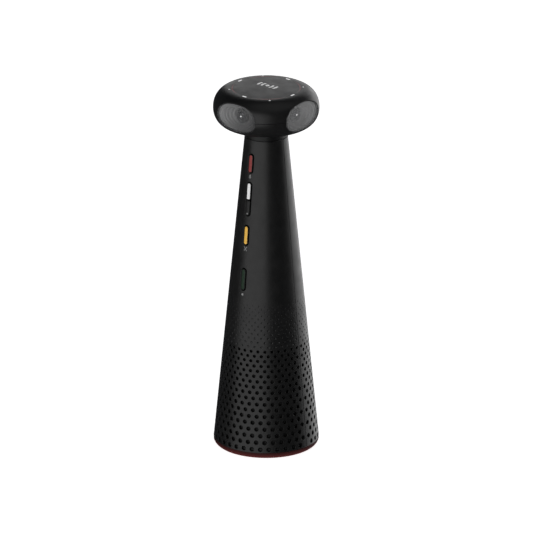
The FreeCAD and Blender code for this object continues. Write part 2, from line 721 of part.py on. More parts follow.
def head_screws():
    head = 1.6
    one = screw(16.0, 2.1, 1.05, head)
    one.translate(V(0, -POST_CIRCLE, HEAD_BOTTOM + 4.2 - head))
    return around(one, 45)


def lens_window(side):
    """Smoked glass plate with a bevelled outer edge."""
    near = WINDOW_SEAT + GASKET_THICK
    glass = oval(0, near, near + WINDOW_THICK)
    outer_edge = min(glass.Edges, key=lambda edge: edge.CenterOfMass.y)
    return turned(glass.makeChamfer(0.35, [outer_edge]), side)


def window_gaskets():
    far = WINDOW_SEAT + GASKET_THICK
    return around(oval(0, WINDOW_SEAT, far).cut(oval(GASKET_WIDTH, 0, FAR)))


def camera_chassis():
    """Square aluminium frame that carries the four cameras."""
    low, high, half = HEAD_BOTTOM + HEAD_WALL, MIC_BOARD_Z[0], CHASSIS_HALF
    hollow, floor = half - CHASSIS_WALL, low + CHASSIS_WALL
    frame = box(-half, half, -half, half, low, high)
    inside = box(-hollow, hollow, -hollow, hollow, floor, high)
    camera_ways = around(lens_cylinder(4.0, hollow - 1, half + 1))
    cable_way = tube(NECK_BORE + 1, 0, low, floor)
    spigot_seat = tube(SPIGOT_RADIUS + 0.2, 0, low, HEAD_BOTTOM + SPIGOT_HEIGHT + 0.1)
    return frame.cut([inside, camera_ways, cable_way, spigot_seat])


def camera_boards():
    half = CAMERA_BOARD_HALF
    return around(box(-half, half, -CAMERA_BOARD_FACE, -CHASSIS_HALF, LENS_Z - half, LENS_Z + half))


def lens_barrels():
    """Stepped lens holders, each with a ring groove round its front element."""
    face, front = CAMERA_BOARD_FACE, LENS_FRONT
    holder = lens_cylinder(6.4, face, face + 3.0)
    barrel = lens_cylinder(4.9, face, front)
    head = lens_cylinder(5.6, front - 1.5, front)
    groove = lens_cylinder(4.9, front - 0.4, FAR).cut(lens_cylinder(4.5, 0, FAR))
    seat = lens_cylinder(LENS_RADIUS + 0.05, front - 2.2, FAR)
    throat = lens_cylinder(1.9, face + 1, FAR)
    return around(holder.fuse([barrel, head]).cut([groove, seat, throat]))


def lens_elements():
    """Domed front glass of each camera."""
    back, apex, skirt = LENS_FRONT - 2.2, LENS_FRONT + 0.9, 1.0
    plug = lens_cylinder(LENS_RADIUS, back, apex)
    dome = Part.makeSphere(LENS_DOME, V(0, LENS_DOME - apex, LENS_Z))
    return around(plug.common(dome.fuse(lens_cylinder(LENS_RADIUS, back, back + skirt))))


def lens_baffles():
    """Black funnel between each window and its lens."""
    near, far, thick = CAMERA_BOARD_FACE + 6.0, WINDOW_SEAT - 1.6, 0.7
    inner, outer = BAFFLE_RADII
    funnel = ring([(inner, near), (outer, far), (outer - thick, far), (inner, near + 1.0)])
    funnel.rotate(V(0, 0, 0), V(1, 0, 0), 90)
    funnel.translate(V(0, 0, LENS_Z))
    return around(funnel)


def microphone_board():
    """Round board under the head's top, notched round the screw posts."""
    notches = upright_cylinders(HEAD_POST_RADIUS + 0.2, *MIC_BOARD_Z, POST_CIRCLE)
    return tube(MIC_BOARD_RADIUS, 0, *MIC_BOARD_Z).cut(notches)


def microphones():
    half_width, half_depth, low = 1.75, 1.2, MIC_BOARD_Z[1]
    near, far = MIC_RADIUS - half_depth, MIC_RADIUS + half_depth
    return around(box(-half_width, half_width, -far, -near, low, low + 1), 45)


def microphone_ports():
    """Fine steel mesh plug in each microphone hole."""
    return upright_cylinders(MIC_HOLE - 0.05, HEAD_EDGE_TOP - 1.45, HEAD_EDGE_TOP - 0.25, MIC_RADIUS)


def status_leds():
    """One chip under each white light, and three under each coloured arc."""
    half_width, half_depth, low = 0.8, 0.7, MIC_BOARD_Z[1]
    near, far = LIGHT_RADIUS - half_depth, LIGHT_RADIUS + half_depth
    chip = box(-half_width, half_width, -far, -near, low, low + 0.6)
    angles = [90 * k + turn for k in range(4) for turn in (0, 22, 45, 68)]
    return Part.makeCompound([turned(chip, angle) for angle in angles])


def led_light_guides():
    """White light bars that stand flush with the head's top."""
    return around(light_bar(0, HEAD_EDGE_TOP + 0.05))


def status_light_arcs():
    return around(light_arc(0, HEAD_EDGE_TOP - ARC_DEPTH + 0.05, HEAD_EDGE_TOP + 0.02), 45)


# ---- buttons ----
def button_middle(name):
    return (BUTTONS[name][0] + BUTTONS[name][1]) / 2


def button(name):
    """A cap that stands out of its slot, with a wider flange behind the wall and a post for the switch."""
    low, high, round_low, round_high = BUTTONS[name]
    half = (high - low) / 2
    corners = [BUTTON_WIDTH / 2 if is_round else BUTTON_CORNER for is_round in (round_low, round_high)]
    cap = rounded_bar(BUTTON_WIDTH, 2 * half, CAP_INNER, BUTTON_PROUD, *corners)
    outer_edges = [edge for edge in cap.Edges if edge.BoundBox.ZMin > BUTTON_PROUD - 1e-6]
    cap = cap.makeFillet(BUTTON_EDGE, outer_edges)
    y0 = -half - (FLANGE_MARGIN if round_low else 0)
    y1 = half + (FLANGE_MARGIN if round_high else 0)
    flange = box(-FLANGE_WIDTH / 2, FLANGE_WIDTH / 2, y0, y1, FLANGE_INNER, CAP_INNER)
    post = Part.makeCylinder(POST_RADIUS, FLANGE_INNER - POST_INNER, V(0, 0, POST_INNER))
    return on_front(cap.fuse([flange, post]), button_middle(name))


def plunger(name):
    """The switch's own button, which the cap's post pushes."""
    stem = Part.makeCylinder(PLUNGER_RADIUS, POST_INNER - PLUNGER_INNER, V(0, 0, PLUNGER_INNER))
    return on_front(stem, button_middle(name))


def switch_housings():
    """One push switch per button on the button board, each with a bore for its plunger."""
    half = SWITCH_HALF
    housing = box(-half, half, -half, half, BOARD_OUTER, SWITCH_OUTER)
    bore = Part.makeCylinder(PLUNGER_RADIUS + PLUNGER_FIT, FAR, V(0, 0, SWITCH_BORE_END))
    housing = housing.cut(bore)
    return Part.makeCompound([on_front(housing, button_middle(name)) for name in BUTTONS])


# ---- assembly ----
def sub_parts():
    parts = {
        "front_shell": front_shell(),
        "rear_shell": rear_shell(),
        "acoustic_cloth": acoustic_cloth(),
        "foot_ring": foot_ring(),
        "base_plate": base_plate(),
        "base_screws": base_screws(),
        "ballast_weight": ballast_weight(),
        "port_panel": port_panel(),
        "usb_c_socket": usb_c_socket(),
        "power_jack": power_jack(),
        "port_board": port_board(),
        "speaker_box": speaker_box(),
        "driver_frame": driver_frame(),
        "driver_yoke": driver_yoke(),
        "driver_front_plate": driver_front_plate(),
        "driver_magnet": driver_magnet(),
        "speaker_cone": speaker_cone(),
        "dust_cap": dust_cap(),
        "voice_coil": voice_coil(),
        "speaker_surround": speaker_surround(),
        "spider": spider(),
        "acoustic_deflector": acoustic_deflector(),
        "speaker_legs": speaker_legs(),
        "inner_spine": inner_spine(),
        "main_board": main_board(),
        "button_board": button_board(),
        "switch_housings": switch_housings(),
        "head_cable": head_cable(),
        "neck_collar": neck_collar(),
        "neck_screws": neck_screws(),
        "head_top_cover": head_top_cover(),
        "head_lower_cover": head_lower_cover(),
        "head_screws": head_screws(),
        "window_gaskets": window_gaskets(),
        "camera_chassis": camera_chassis(),
        "camera_boards": camera_boards(),
        "lens_barrels": lens_barrels(),
        "lens_elements": lens_elements(),
        "lens_baffles": lens_baffles(),
        "microphone_board": microphone_board(),
        "microphones": microphones(),
        "status_leds": status_leds(),
        "microphone_ports": microphone_ports(),
        "led_light_guides": led_light_guides(),
        "status_light_arcs": status_light_arcs(),
    }
    for side, degrees in SIDES.items():
        parts[f"lens_window_{side}"] = lens_window(degrees)
    for name in BUTTONS:
        parts[f"{name}_button"] = button(name)
        parts[f"{name}_plunger"] = plunger(name)
    return parts


def main():
    os.makedirs("parts", exist_ok=True)
    parts = sub_parts()
    for name, shape in parts.items():
        if not shape.isValid():
            raise ValueError(f"{name} is not a valid shape")
        shape.exportStep(f"parts/{name}.step")
        print(f"{name}: {len(shape.Solids)} solids, {shape.Volume:.1f} mm3")
    print(len(parts), "nodes")


main()
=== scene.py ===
import json
import math

import bpy
import numpy as np
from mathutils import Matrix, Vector
from mathutils.geometry import delaunay_2d_cdt


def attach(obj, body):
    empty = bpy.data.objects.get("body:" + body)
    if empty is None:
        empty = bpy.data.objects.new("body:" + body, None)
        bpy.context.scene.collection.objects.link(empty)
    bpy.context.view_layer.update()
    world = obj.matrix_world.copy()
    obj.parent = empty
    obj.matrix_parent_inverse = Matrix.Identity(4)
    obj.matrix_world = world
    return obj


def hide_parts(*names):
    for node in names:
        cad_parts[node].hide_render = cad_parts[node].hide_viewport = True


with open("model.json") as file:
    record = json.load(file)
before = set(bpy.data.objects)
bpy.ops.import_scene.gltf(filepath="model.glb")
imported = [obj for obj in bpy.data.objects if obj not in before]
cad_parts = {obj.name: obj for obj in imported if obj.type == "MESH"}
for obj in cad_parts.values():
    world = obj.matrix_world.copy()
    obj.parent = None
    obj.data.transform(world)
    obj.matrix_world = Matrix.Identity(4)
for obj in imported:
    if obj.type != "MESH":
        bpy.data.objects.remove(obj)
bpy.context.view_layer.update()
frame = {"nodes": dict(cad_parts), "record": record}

nodes = frame["nodes"]

# ---- dimensions, as in the CAD ----
CONE_RADIUS = 42.6
TAPER = 0.0975
SLOPE = math.atan(TAPER)
WALL = 2.2
SHELL_Z = (5.2, 260.0)
SEAM_HALF = 0.1  # half the gap between two covers or two shells

HEAD_Z = (268.7, 300.0)
HEAD_MIDDLE = 283.8
HEAD_RADIUS = 42.3
HEAD_FLAT = 27.5
HEAD_CROWN = 0.5
HEAD_ROUNDNESS = 2.15
HEAD_WALL = 2.0
NECK_HOLE = 12.9

WINDOW_PLANE = 37.2  # distances of the windows' planes from the axis
WINDOW_FRONT = 37.1
WINDOW_BACK = 35.5
WINDOW_SEAT = 34.9
WINDOW_HALF = (19.55, 11.55)  # half the width and the height of its oval
WINDOW_ROUNDNESS = 2.24
GASKET_WIDTH = 1.5
SEAL_WIDTH = 0.7  # of the seal that shows, which is narrower than the CAD's gasket
LENS_Z = 284.0
LENS_FRONT = 30.5
LENS_RADIUS = 3.85
LENS_DOME = 5.6
LENS_RISE = 0.9
LENS_DEPTH = 2.2
# size and rise of the painted glint, a glowing disc in the middle of each lens
GLINT_RADIUS = 0.62
GLINT_RISE = 0.12
HOLDER_BACK = 21.1
BOWL_OUT = (34.9, 28.4)  # the funnel's distance from the axis at the window and at the lens
BOWL_RADIUS = 6.0
BOWL_WALL = 0.6
BOWL_RINGS = 5
BOWL_RIPPLE = 0.28  # how far its rings rise and fall
BOWL_BRIM = 35.4

HOLE_COLUMNS = 38
HOLE_ROWS = 18
HOLE_TOP_Z = 88.4
HOLE_PITCH = (3.82, 0.113)  # between the two highest rows, and how much it grows with each row down
HOLE_DIAMETER = (2.35, 3.65)  # in the highest row and in the lowest row
DIMPLE_ROWS = 12
DIMPLE_DIAMETER = (2.25, 1.3)  # in the lowest row and in the highest row
DIMPLE_DEPTH = (0.42, 0.18)

PANEL_HALF_WIDTH = 16.0
PANEL_Z = (11.6, 32.0)
PANEL_MARGIN = (2.7, 1.0)  # of plain wall at its sides, and above and below it

BUTTON_WIDTH = 3.9
SLOT_WIDTH = 5.4
SLOT_MARGIN = 0.75
BUTTON_PROUD = 0.6
CAP_INNER = -2.9
FLANGE_INNER = -4.0
FLANGE_WIDTH = 6.2
FLANGE_MARGIN = 1.3
POST_INNER = -4.6
POST_RADIUS = 1.2
ROUND_CORNER = BUTTON_WIDTH / 2
SQUARE_CORNER = 0.6
FACE_INSET = 0.5  # from the skirt's outline to the coloured face's
KEY_MARK_RISE = -4.6  # of the mark on the dark key above the key's middle, so it lies below
MARK_Z = {"mute": 230.4, "mode": 171.0, "power": 133.4}  # heights of the marks under the buttons
# name: (lowest and highest height, corner radius at each end, finish)
BUTTONS = {
    "mute": (233.6, 248.4, ROUND_CORNER, ROUND_CORNER, "button_red"),
    "volume_up": (211.4, 225.3, SQUARE_CORNER, ROUND_CORNER, "button_white"),
    "volume_down": (198.4, 210.8, ROUND_CORNER, SQUARE_CORNER, "button_grey"),
    "mode": (174.3, 189.8, ROUND_CORNER, ROUND_CORNER, "button_yellow"),
    "power": (137.1, 154.4, ROUND_CORNER, ROUND_CORNER, "button_green"),
}
SLOTS = [("mute", "mute"), ("volume_down", "volume_up"), ("mode", "mode"), ("power", "power")]

LIGHT_RADIUS = 27.0
LIGHT_BAR = (4.2, 1.4)
LIGHT_CORNER = 0.74
LIGHT_CLEARANCE = 0.05
ARC_HALF_WIDTH = 0.6
ARC_HALF_ANGLE = 33.0
MIC_RADIUS = 29.4
MIC_HOLE = 0.85
COVER_SCREW_RADIUS = 33.0
COVER_SCREW_HOLE = 2.3

UP = np.array([0, 0, 1.0])
OUTWARD = np.array([0, 1.0, 0])  # out of a window, in (across, out, up) points
LENS_MIDDLE = np.array([0, 0, LENS_Z])


# ---- meshes ----
def mm(points):
    return np.asarray(points, float) * 0.001


def unit(vectors):
    return vectors / np.linalg.norm(vectors, axis=-1, keepdims=True)


def full_turn(count):
    return np.arange(count) * 2 * math.pi / count


def circle(radius, count=20):
    """Points of a circle, and their outward directions."""
    angles = full_turn(count)
    outs = np.stack([np.cos(angles), np.sin(angles)], 1)
    return outs * radius, outs


class Solid:
    """Points, normals and faces, collected ring by ring and then made into one smooth mesh."""

    def __init__(self):
        self.points, self.normals, self.faces = [], [], []
        self.count = 0

    def add(self, points, normals):
        """Adds points with their normals, and returns their indices."""
        self.points.append(np.asarray(points, float))
        self.normals.append(np.asarray(normals, float))
        self.count += len(points)
        return np.arange(self.count - len(points), self.count)

    def join(self, rings):
        """Quads from each ring of points to the next, whose normal follows the rings' turning sense."""
        for outer, inner in zip(rings, rings[1:]):
            quads = np.stack([outer, np.roll(outer, -1), np.roll(inner, -1), inner], 1)
            self.faces += quads.tolist()

    def fan(self, edge, centre):
        self.faces += [[a, b, int(centre[0])] for a, b in zip(edge.tolist(), np.roll(edge, -1).tolist())]

    def mesh(self):
        mesh = bpy.data.meshes.new("piece")
        mesh.from_pydata(mm(np.concatenate(self.points)).tolist(), [], self.faces)
        mesh.validate()
        mesh.shade_smooth()
        mesh.normals_split_custom_set_from_vertices(unit(np.concatenate(self.normals)).tolist())
        return mesh


def flat_mesh(points, faces, sharp=30):
    """A mesh from points in millimetres, with edges sharper than an angle left crisp."""
    mesh = bpy.data.meshes.new("piece")
    mesh.from_pydata(mm(points).tolist(), [], faces)
    mesh.shade_smooth()
    mesh.set_sharp_from_angle(angle=math.radians(sharp))
    return mesh


def row_faces(rows, count, start=0, closed=False):
    """Quads that join each row of points to the next one, and if closed the last to the first."""
    faces = []
    for i in range(rows if closed else rows - 1):
        a, b = start + i * count, start + (i + 1) % rows * count
        faces += [(a + k, a + (k + 1) % count, b + (k + 1) % count, b + k) for k in range(count)]
    return faces


def lathe(outline, segments=192):
    """A solid of revolution about Z from a closed outline of (radius, height), anticlockwise."""
    angles = full_turn(segments)
    rows = [np.stack([r * np.cos(angles), r * np.sin(angles), np.full(segments, z)], 1) for r, z in outline]
    return flat_mesh(np.concatenate(rows), row_faces(len(outline), segments, closed=True))


def rounded_outline(corners, steps=5):
    """(radius, height, corner radius) corners of an outline turned into points, with each corner an arc."""
    points = []
    for i, (x, y, radius) in enumerate(corners):
        here = np.array([x, y])
        before = np.array(corners[i - 1][:2])
        after = np.array(corners[(i + 1) % len(corners)][:2])
        if radius == 0:
            points.append(here)
            continue
        to_before, to_after = unit(before - here), unit(after - here)
        half_angle = math.acos(np.clip(to_before @ to_after, -1, 1)) / 2
        reach = radius / math.tan(half_angle)
        centre = here + unit(to_before + to_after) * radius / math.sin(half_angle)
        start, stop = here + to_before * reach - centre, here + to_after * reach - centre
        sweep = math.acos(np.clip(unit(start) @ unit(stop), -1, 1))
        for share in np.linspace(0, 1, steps + 1):
            mixed = start * math.sin((1 - share) * sweep) + stop * math.sin(share * sweep)
            points.append(centre + mixed / math.sin(sweep))
    return points


# ---- skins: curved walls with openings ----
# A skin is laid out flat in a chart. Its place(chart points, depth) gives their points and normals.
FILLET = [math.radians(a) for a in (30, 60, 90)]
CUT_SHORT = 0.1  # a cut's last ring lies this far above the wall's inner face


class Opening:
    """A loop in a skin, and the rings that lead from it below the face."""

    def __init__(self, chart_ring, rings, through=True, covers=None):
        self.chart_ring = chart_ring  # the loop on the face, in the chart
        self.rings = rings  # list of (points, normals)
        self.through = through  # a dimple isn't
        self.covers = covers  # tells which chart points lie in it, for a loop that isn't convex


def cut(place, ring, bevel, wall, covers=None):
    """An opening whose edge is rounded over and then goes straight down. ring(offset) is its loop, grown."""
    steps = [(bevel * (1 - math.sin(a)), bevel * (1 - math.cos(a)), a) for a in FILLET]
    steps.append((0.0, wall - CUT_SHORT, math.pi / 2))
    rings = []
    for spread, depth, lean in steps:
        points, normals = place(ring(spread), depth)
        side = unit(points - place(ring(spread + 0.1), depth)[0])
        rings.append((points, normals * math.cos(lean) + side * math.sin(lean)))
    return Opening(ring(bevel), rings, covers=covers)


def distances(points, others):
    """The distance from each chart point to each of the others."""
    return np.hypot(points[:, None, 0] - others[None, :, 0], points[:, None, 1] - others[None, :, 1])


def triangulate(loops, grid):
    """Chart points, the loop of each or -1, and triangles over them that keep every loop's edges."""
    labels, edges = [], []
    for i, loop in enumerate(loops):
        start, count = len(labels), len(loop)
        edges += [(start + k, start + (k + 1) % count) for k in range(count)]
        labels += [i] * count
    labels += [-1] * len(grid)
    flat = np.concatenate([*loops, grid])
    result = delaunay_2d_cdt([Vector(p) for p in flat.tolist()], edges, [], 0, 1e-7)
    faces, origins = result[2], result[3]
    if not all(origins):
        raise ValueError("two openings of a skin touch each other")
    return flat, np.array(labels), np.array([[origins[v][0] for v in face] for face in faces])


def skin(place, openings, grid, wall):
    """A wall as a solid. Openings go through to its inner face, and dimples only dent the outer one."""
    solid = Solid()
    flat, labels, triangles = triangulate([opening.chart_ring for opening in openings], grid)
    corner_labels = labels[triangles]
    same = (corner_labels == corner_labels[:, :1]).all(1)
    centres = flat[triangles].mean(1)
    no_outer, no_inner = np.zeros((2, len(triangles)), bool)
    for i, opening in enumerate(openings):
        inside = same & (corner_labels[:, 0] == i)
        if opening.covers:
            inside &= opening.covers(centres)
        no_outer |= inside
        if opening.through:
            no_inner |= inside
    u, v = (flat[triangles[:, k]] - flat[triangles[:, 0]] for k in (1, 2))
    turn = u[:, 0] * v[:, 1] - u[:, 1] * v[:, 0]
    triangles[turn < 0] = triangles[turn < 0][:, ::-1]
    real = np.abs(turn) > 1e-9
    outer = solid.add(*place(flat, 0.0))
    solid.faces += outer[triangles[real & ~no_outer]].tolist()
    points, normals = place(flat, wall)
    inner = solid.add(points, -normals)
    solid.faces += inner[triangles[real & ~no_inner][:, ::-1]].tolist()
    start = 0
    for opening in openings:
        ids = np.arange(start, start + len(opening.chart_ring))
        start += len(ids)
        rings = [outer[ids]] + [solid.add(*ring) for ring in opening.rings]
        if opening.through:
            solid.join(rings + [inner[ids]])
        else:
            solid.join(rings[:-1])
            solid.fan(rings[-2], rings[-1])
    return solid


def disc_grid(radii, spacing):
    """Points on circles, about evenly spaced and staggered from each circle to the next."""
    points = []
    for i, radius in enumerate(radii):
        count = max(6, round(2 * math.pi * radius / spacing))
        angles = full_turn(count) + 0.5 * (i % 2) * 2 * math.pi / count
        points.append(np.stack([radius * np.cos(angles), radius * np.sin(angles)], 1))
    return np.concatenate(points)


def rounded_loop(half, corners, step, arc_steps):
    """Offsets and outward directions round a rounded rectangle, anticlockwise. corners are the radii at
    the lower and the upper end."""
    (a, b), (low, high) = half, corners
    points, outs = [], []
    ends = [(1, -1, low, -90), (1, 1, high, 0), (-1, 1, high, 90), (-1, -1, low, 180)]
    centres = [np.array([sx * (a - radius), sy * (b - radius)]) for sx, sy, radius, _ in ends]
    for i, (_, _, radius, start) in enumerate(ends):
        for degrees in np.linspace(start, start + 90, arc_steps + 1):
            angle = math.radians(degrees)
            outs.append(np.array([math.cos(angle), math.sin(angle)]))
            points.append(centres[i] + outs[-1] * radius)
        following = centres[(i + 1) % 4] + outs[-1] * ends[(i + 1) % 4][2]
        gap = np.linalg.norm(following - points[-1])
        extra = int(gap // step)
        if gap < 1e-6:
            points.pop()
            outs.pop()
        for k in range(1, extra + 1):
            points.append(points[-1] + (following - points[-1]) / (extra + 2 - k))
            outs.append(outs[-1])
    return np.array(points), np.array(outs)


# ---- the tapered shells ----
# Their chart is (arc length at CHART_RADIUS, height).
CHART_RADIUS = CONE_RADIUS - TAPER * 50
SHELL_BEVEL = 0.18
HOLE_BEVEL = 0.22
PANEL_BEVEL = 0.2
SLOT_BEVEL = 0.3


def cone_radius(z):
    return CONE_RADIUS - TAPER * z


def cone_face(middle):
    """The place function of the half shell about an azimuth."""
    def place(chart, depth):
        azimuth = chart[:, 0] / CHART_RADIUS + middle
        z = chart[:, 1]
        out = np.stack([np.sin(azimuth), -np.cos(azimuth), np.zeros(len(z))], 1)
        normals = out * math.cos(SLOPE) + UP * math.sin(SLOPE)
        return out * (cone_radius(z) - depth)[:, None] + UP * z[:, None], normals
    return place


def on_chart(u, across, z):
    """Chart points that lie across from an arc length, at heights."""
    return np.stack([u + across * CHART_RADIUS / cone_radius(z), z], 1)


def cone_opening(place, centre, loop, outs, bevel):
    """A through opening in the body, from its loop of offsets about a centre."""
    def ring(offset):
        local = loop + outs * offset
        return on_chart(centre[0], local[:, 0], centre[1] + local[:, 1] * math.cos(SLOPE))

    return cut(place, ring, bevel, WALL)


def dimple(place, centre, radius, depth):
    """A shallow round dent whose wall meets the surface and its own middle smoothly."""
    loop, _ = circle(radius, 14)

    def ring(share):
        return on_chart(centre[0], loop[:, 0] * share, centre[1] + loop[:, 1] * share)

    rings = []
    for share in (0.84, 0.62, 0.34):
        dip = (1 - share**2) ** 1.5 * depth
        steep = 3 * share * math.sqrt(1 - share**2) * depth / radius
        points, normals = place(ring(share), dip)
        side = unit(points - place(ring(share + 0.05), dip)[0])
        rings.append((points, normals + side * steep))
    rings.append(place(np.array([centre]), depth))
    return Opening(ring(1.0), rings, through=False)


def between(ends, share):
    return ends[0] + share * (ends[1] - ends[0])


def grille_rows():
    """Each row as (height, diameter, dimple depth or None, whether its columns are shifted)."""
    rows, z = [], HOLE_TOP_Z
    for k in range(HOLE_ROWS):
        rows.append((z, between(HOLE_DIAMETER, k / (HOLE_ROWS - 1)), None, (HOLE_ROWS - 1 - k) % 2 == 1))
        z -= HOLE_PITCH[0] + HOLE_PITCH[1] * k
    z = HOLE_TOP_Z
    for k in range(1, DIMPLE_ROWS + 1):
        z += HOLE_PITCH[0] - HOLE_PITCH[1] * k
        share = (k - 1) / (DIMPLE_ROWS - 1)
        rows.append((z, between(DIMPLE_DIAMETER, share), between(DIMPLE_DEPTH, share),
                     (HOLE_ROWS - 1 + k) % 2 == 1))
    return rows


def grille_openings(place, keep_out):
    """Holes and dimples of one half, and their (u, z, radius). The column on each seam is left plain."""
    openings, spots = [], []
    step = 2 * math.pi / HOLE_COLUMNS
    for z, diameter, depth, shifted in grille_rows():
        for column in range(1 - shifted, HOLE_COLUMNS // 2):
            angle = (column + 0.5 * shifted) * step - math.pi / 2
            centre = (angle * CHART_RADIUS, z)
            if keep_out and keep_out(cone_radius(z) * math.sin(angle), z):
                continue
            spots.append((*centre, diameter / 2))
            if depth is None:
                openings.append(cone_opening(place, centre, *circle(diameter / 2), HOLE_BEVEL))
            else:
                openings.append(dimple(place, centre, diameter / 2, depth))
    return openings, np.array(spots)


def shell_edge(place):
    """The outer edge of a half shell: up one seam, round the top, down the other seam and along the foot."""
    z_rows, u_cols = np.linspace(0, 1, 84), np.linspace(-1, 1, 90)

    def ring(inset):
        low, high = SHELL_Z[0] + inset, SHELL_Z[1] - inset

        def side(z):
            return CHART_RADIUS * (math.pi / 2 - (SEAM_HALF + inset) / cone_radius(z))

        z = low + z_rows * (high - low)
        up = np.stack([-side(z), z], 1)
        over = np.stack([u_cols * side(high), np.full(len(u_cols), high)], 1)[1:]
        down = np.stack([side(z), z], 1)[::-1][1:]
        back = np.stack([-u_cols * side(low), np.full(len(u_cols), low)], 1)[1:-1]
        return np.concatenate([up, over, down, back])

    return cut(place, ring, SHELL_BEVEL, WALL)


def panel_opening(place):
    """The window for the socket panel. Its sides run straight along Y."""
    z_middle = sum(PANEL_Z) / 2
    loop, outs = rounded_loop((PANEL_HALF_WIDTH, PANEL_Z[1] - z_middle), (0.01, 0.01), 2.0, 1)

    def chart(local, depth):
        z = z_middle + local[:, 1]
        return np.stack([np.arcsin(local[:, 0] / (cone_radius(z) - depth)) * CHART_RADIUS, z], 1)

    opening = cut(lambda local, depth: place(chart(local, depth), depth),
                  lambda offset: loop + outs * offset, PANEL_BEVEL, WALL)
    opening.chart_ring = chart(opening.chart_ring, 0.0)
    return opening


def near_panel(x, z):
    beside, above = PANEL_MARGIN
    return PANEL_Z[0] - above < z < PANEL_Z[1] + above and abs(x) < PANEL_HALF_WIDTH + beside


def shell_half(place, extra, blocks, keep_out=None):
    """One half of the body. extra are its own openings, and blocks their (u, z, half, half) boxes."""
    openings, spots = grille_openings(place, keep_out)
    quarter = CHART_RADIUS * math.pi / 2
    grid = []
    heights = [*np.arange(7.0, 134, 2.5), *np.arange(137.0, 259, 5.0)]  # denser over the holes and dimples
    for i, z in enumerate(heights):
        count = 47 + i % 2
        u = (np.arange(count) - (count - 1) / 2) * quarter / 24
        grid += [(a, z) for a in u if abs(a) < quarter - 0.9]
    grid = np.array(grid)
    keep = (distances(grid, spots) > spots[:, 2] * 1.1 + 0.7).all(1)
    for u, z, half_u, half_z in blocks:
        keep &= (abs(grid[:, 0] - u) > half_u + 0.8) | (abs(grid[:, 1] - z) > half_z + 0.8)
    return skin(place, [shell_edge(place)] + extra + openings, grid[keep], WALL)


def slot_openings(place):
    """The slots for the buttons, and their (u, z, half, half) boxes."""
    openings, blocks = [], []
    for low_name, high_name in SLOTS:
        low, high = BUTTONS[low_name][0] - SLOT_MARGIN, BUTTONS[high_name][1] + SLOT_MARGIN
        half = (SLOT_WIDTH / 2, (high - low) / 2)
        loop, outs = rounded_loop(half, (SLOT_WIDTH / 2, SLOT_WIDTH / 2), 4.0, 12)
        middle = (low + high) / 2
        openings.append(cone_opening(place, (0.0, middle), loop, outs, SLOT_BEVEL))
        blocks.append((0.0, middle, half[0] * CHART_RADIUS / cone_radius(middle), half[1]))
    return openings, blocks


# ---- the head ----
# Its outline is measured by the arc length t from the middle of its top.
EQUATOR_POINTS = 16  # along the split line between two windows
BITE_POINTS = 61  # along each half of a window seat
COVER_BEVEL = 0.2
GRID_GAP = 0.8  # how far the grid stays from a cover's edge
OPENING_GAP = 0.35  # and from its openings


def head_profile():
    """The head's outline from the middle of its top, round its edge and in to the neck hole."""
    crown_r = np.linspace(0, HEAD_FLAT, 24)
    edge_top = HEAD_Z[1] - HEAD_CROWN
    crown = np.stack([crown_r, HEAD_Z[1] - HEAD_CROWN * (crown_r / HEAD_FLAT) ** 2], 1)
    angle = np.linspace(math.pi / 2, -math.pi / 2, 721)[1:-1]
    power = 2 / HEAD_ROUNDNESS
    half = np.where(angle > 0, edge_top - HEAD_MIDDLE, HEAD_MIDDLE - HEAD_Z[0])
    r = HEAD_FLAT + (HEAD_RADIUS - HEAD_FLAT) * np.abs(np.cos(angle)) ** power
    z = HEAD_MIDDLE + np.sign(angle) * half * np.abs(np.sin(angle)) ** power
    floor_r = np.linspace(HEAD_FLAT, NECK_HOLE, 9)
    floor = np.stack([floor_r, np.full(len(floor_r), HEAD_Z[0])], 1)
    return np.concatenate([crown, np.stack([r, z], 1), floor])


PROFILE = head_profile()
PROFILE_T = np.concatenate([[0], np.cumsum(np.linalg.norm(np.diff(PROFILE, axis=0), axis=1))])


def profile_at(t):
    """(radius, height, normal's radial part, normal's upward part) at arc lengths along the outline."""
    def at(length):
        return np.interp(length, PROFILE_T, PROFILE[:, 0]), np.interp(length, PROFILE_T, PROFILE[:, 1])

    t = np.clip(t, 0, PROFILE_T[-1])
    (near_r, near_z), (far_r, far_z) = at(t - 0.35), at(t + 0.35)
    dr, dz = far_r - near_r, far_z - near_z
    length = np.hypot(dr, dz)
    return *at(t), -dz / length, dr / length


def height_to_t(z):
    """Arc length at which the outline's edge passes a height."""
    return np.interp(-np.asarray(z, float), -PROFILE[:, 1], PROFILE_T)


class HeadHalf:
    """The chart of one cover: polar, with the azimuth as its angle. The lower one is seen from below."""

    def __init__(self, upper):
        self.upper = upper
        self.sense = 1.0 if upper else -1.0

    def chart(self, t, azimuth):
        rho = t if self.upper else PROFILE_T[-1] - t + NECK_HOLE
        angle = azimuth - math.pi / 2
        return np.stack([rho * np.cos(angle), self.sense * rho * np.sin(angle)], -1)

    def place(self, chart, depth):
        rho = np.hypot(chart[:, 0], chart[:, 1])
        angle = np.arctan2(self.sense * chart[:, 1], chart[:, 0])
        r, z, nr, nz = profile_at(rho if self.upper else PROFILE_T[-1] - (rho - NECK_HOLE))
        out = np.stack([np.cos(angle), np.sin(angle), np.zeros(len(r))], 1)
        normals = out * nr[:, None] + UP * nz[:, None]
        return out * r[:, None] + UP * z[:, None] - normals * depth, normals

    def beyond_windows(self, chart):
        """Tells which chart points lie beyond a flat window plane, where the cover has no surface."""
        points, _ = self.place(chart, 0.0)
        return np.maximum(np.abs(points[:, 0]), np.abs(points[:, 1])) > SEAT_RINGS[0][1]


def on_side(points, azimuth):
    """Turns (across, out, up) points of the front window to another side."""
    across, out, up = np.asarray(points, float).T
    return np.stack([across * math.cos(azimuth) + out * math.sin(azimuth),
                     across * math.sin(azimuth) - out * math.cos(azimuth), up], 1)


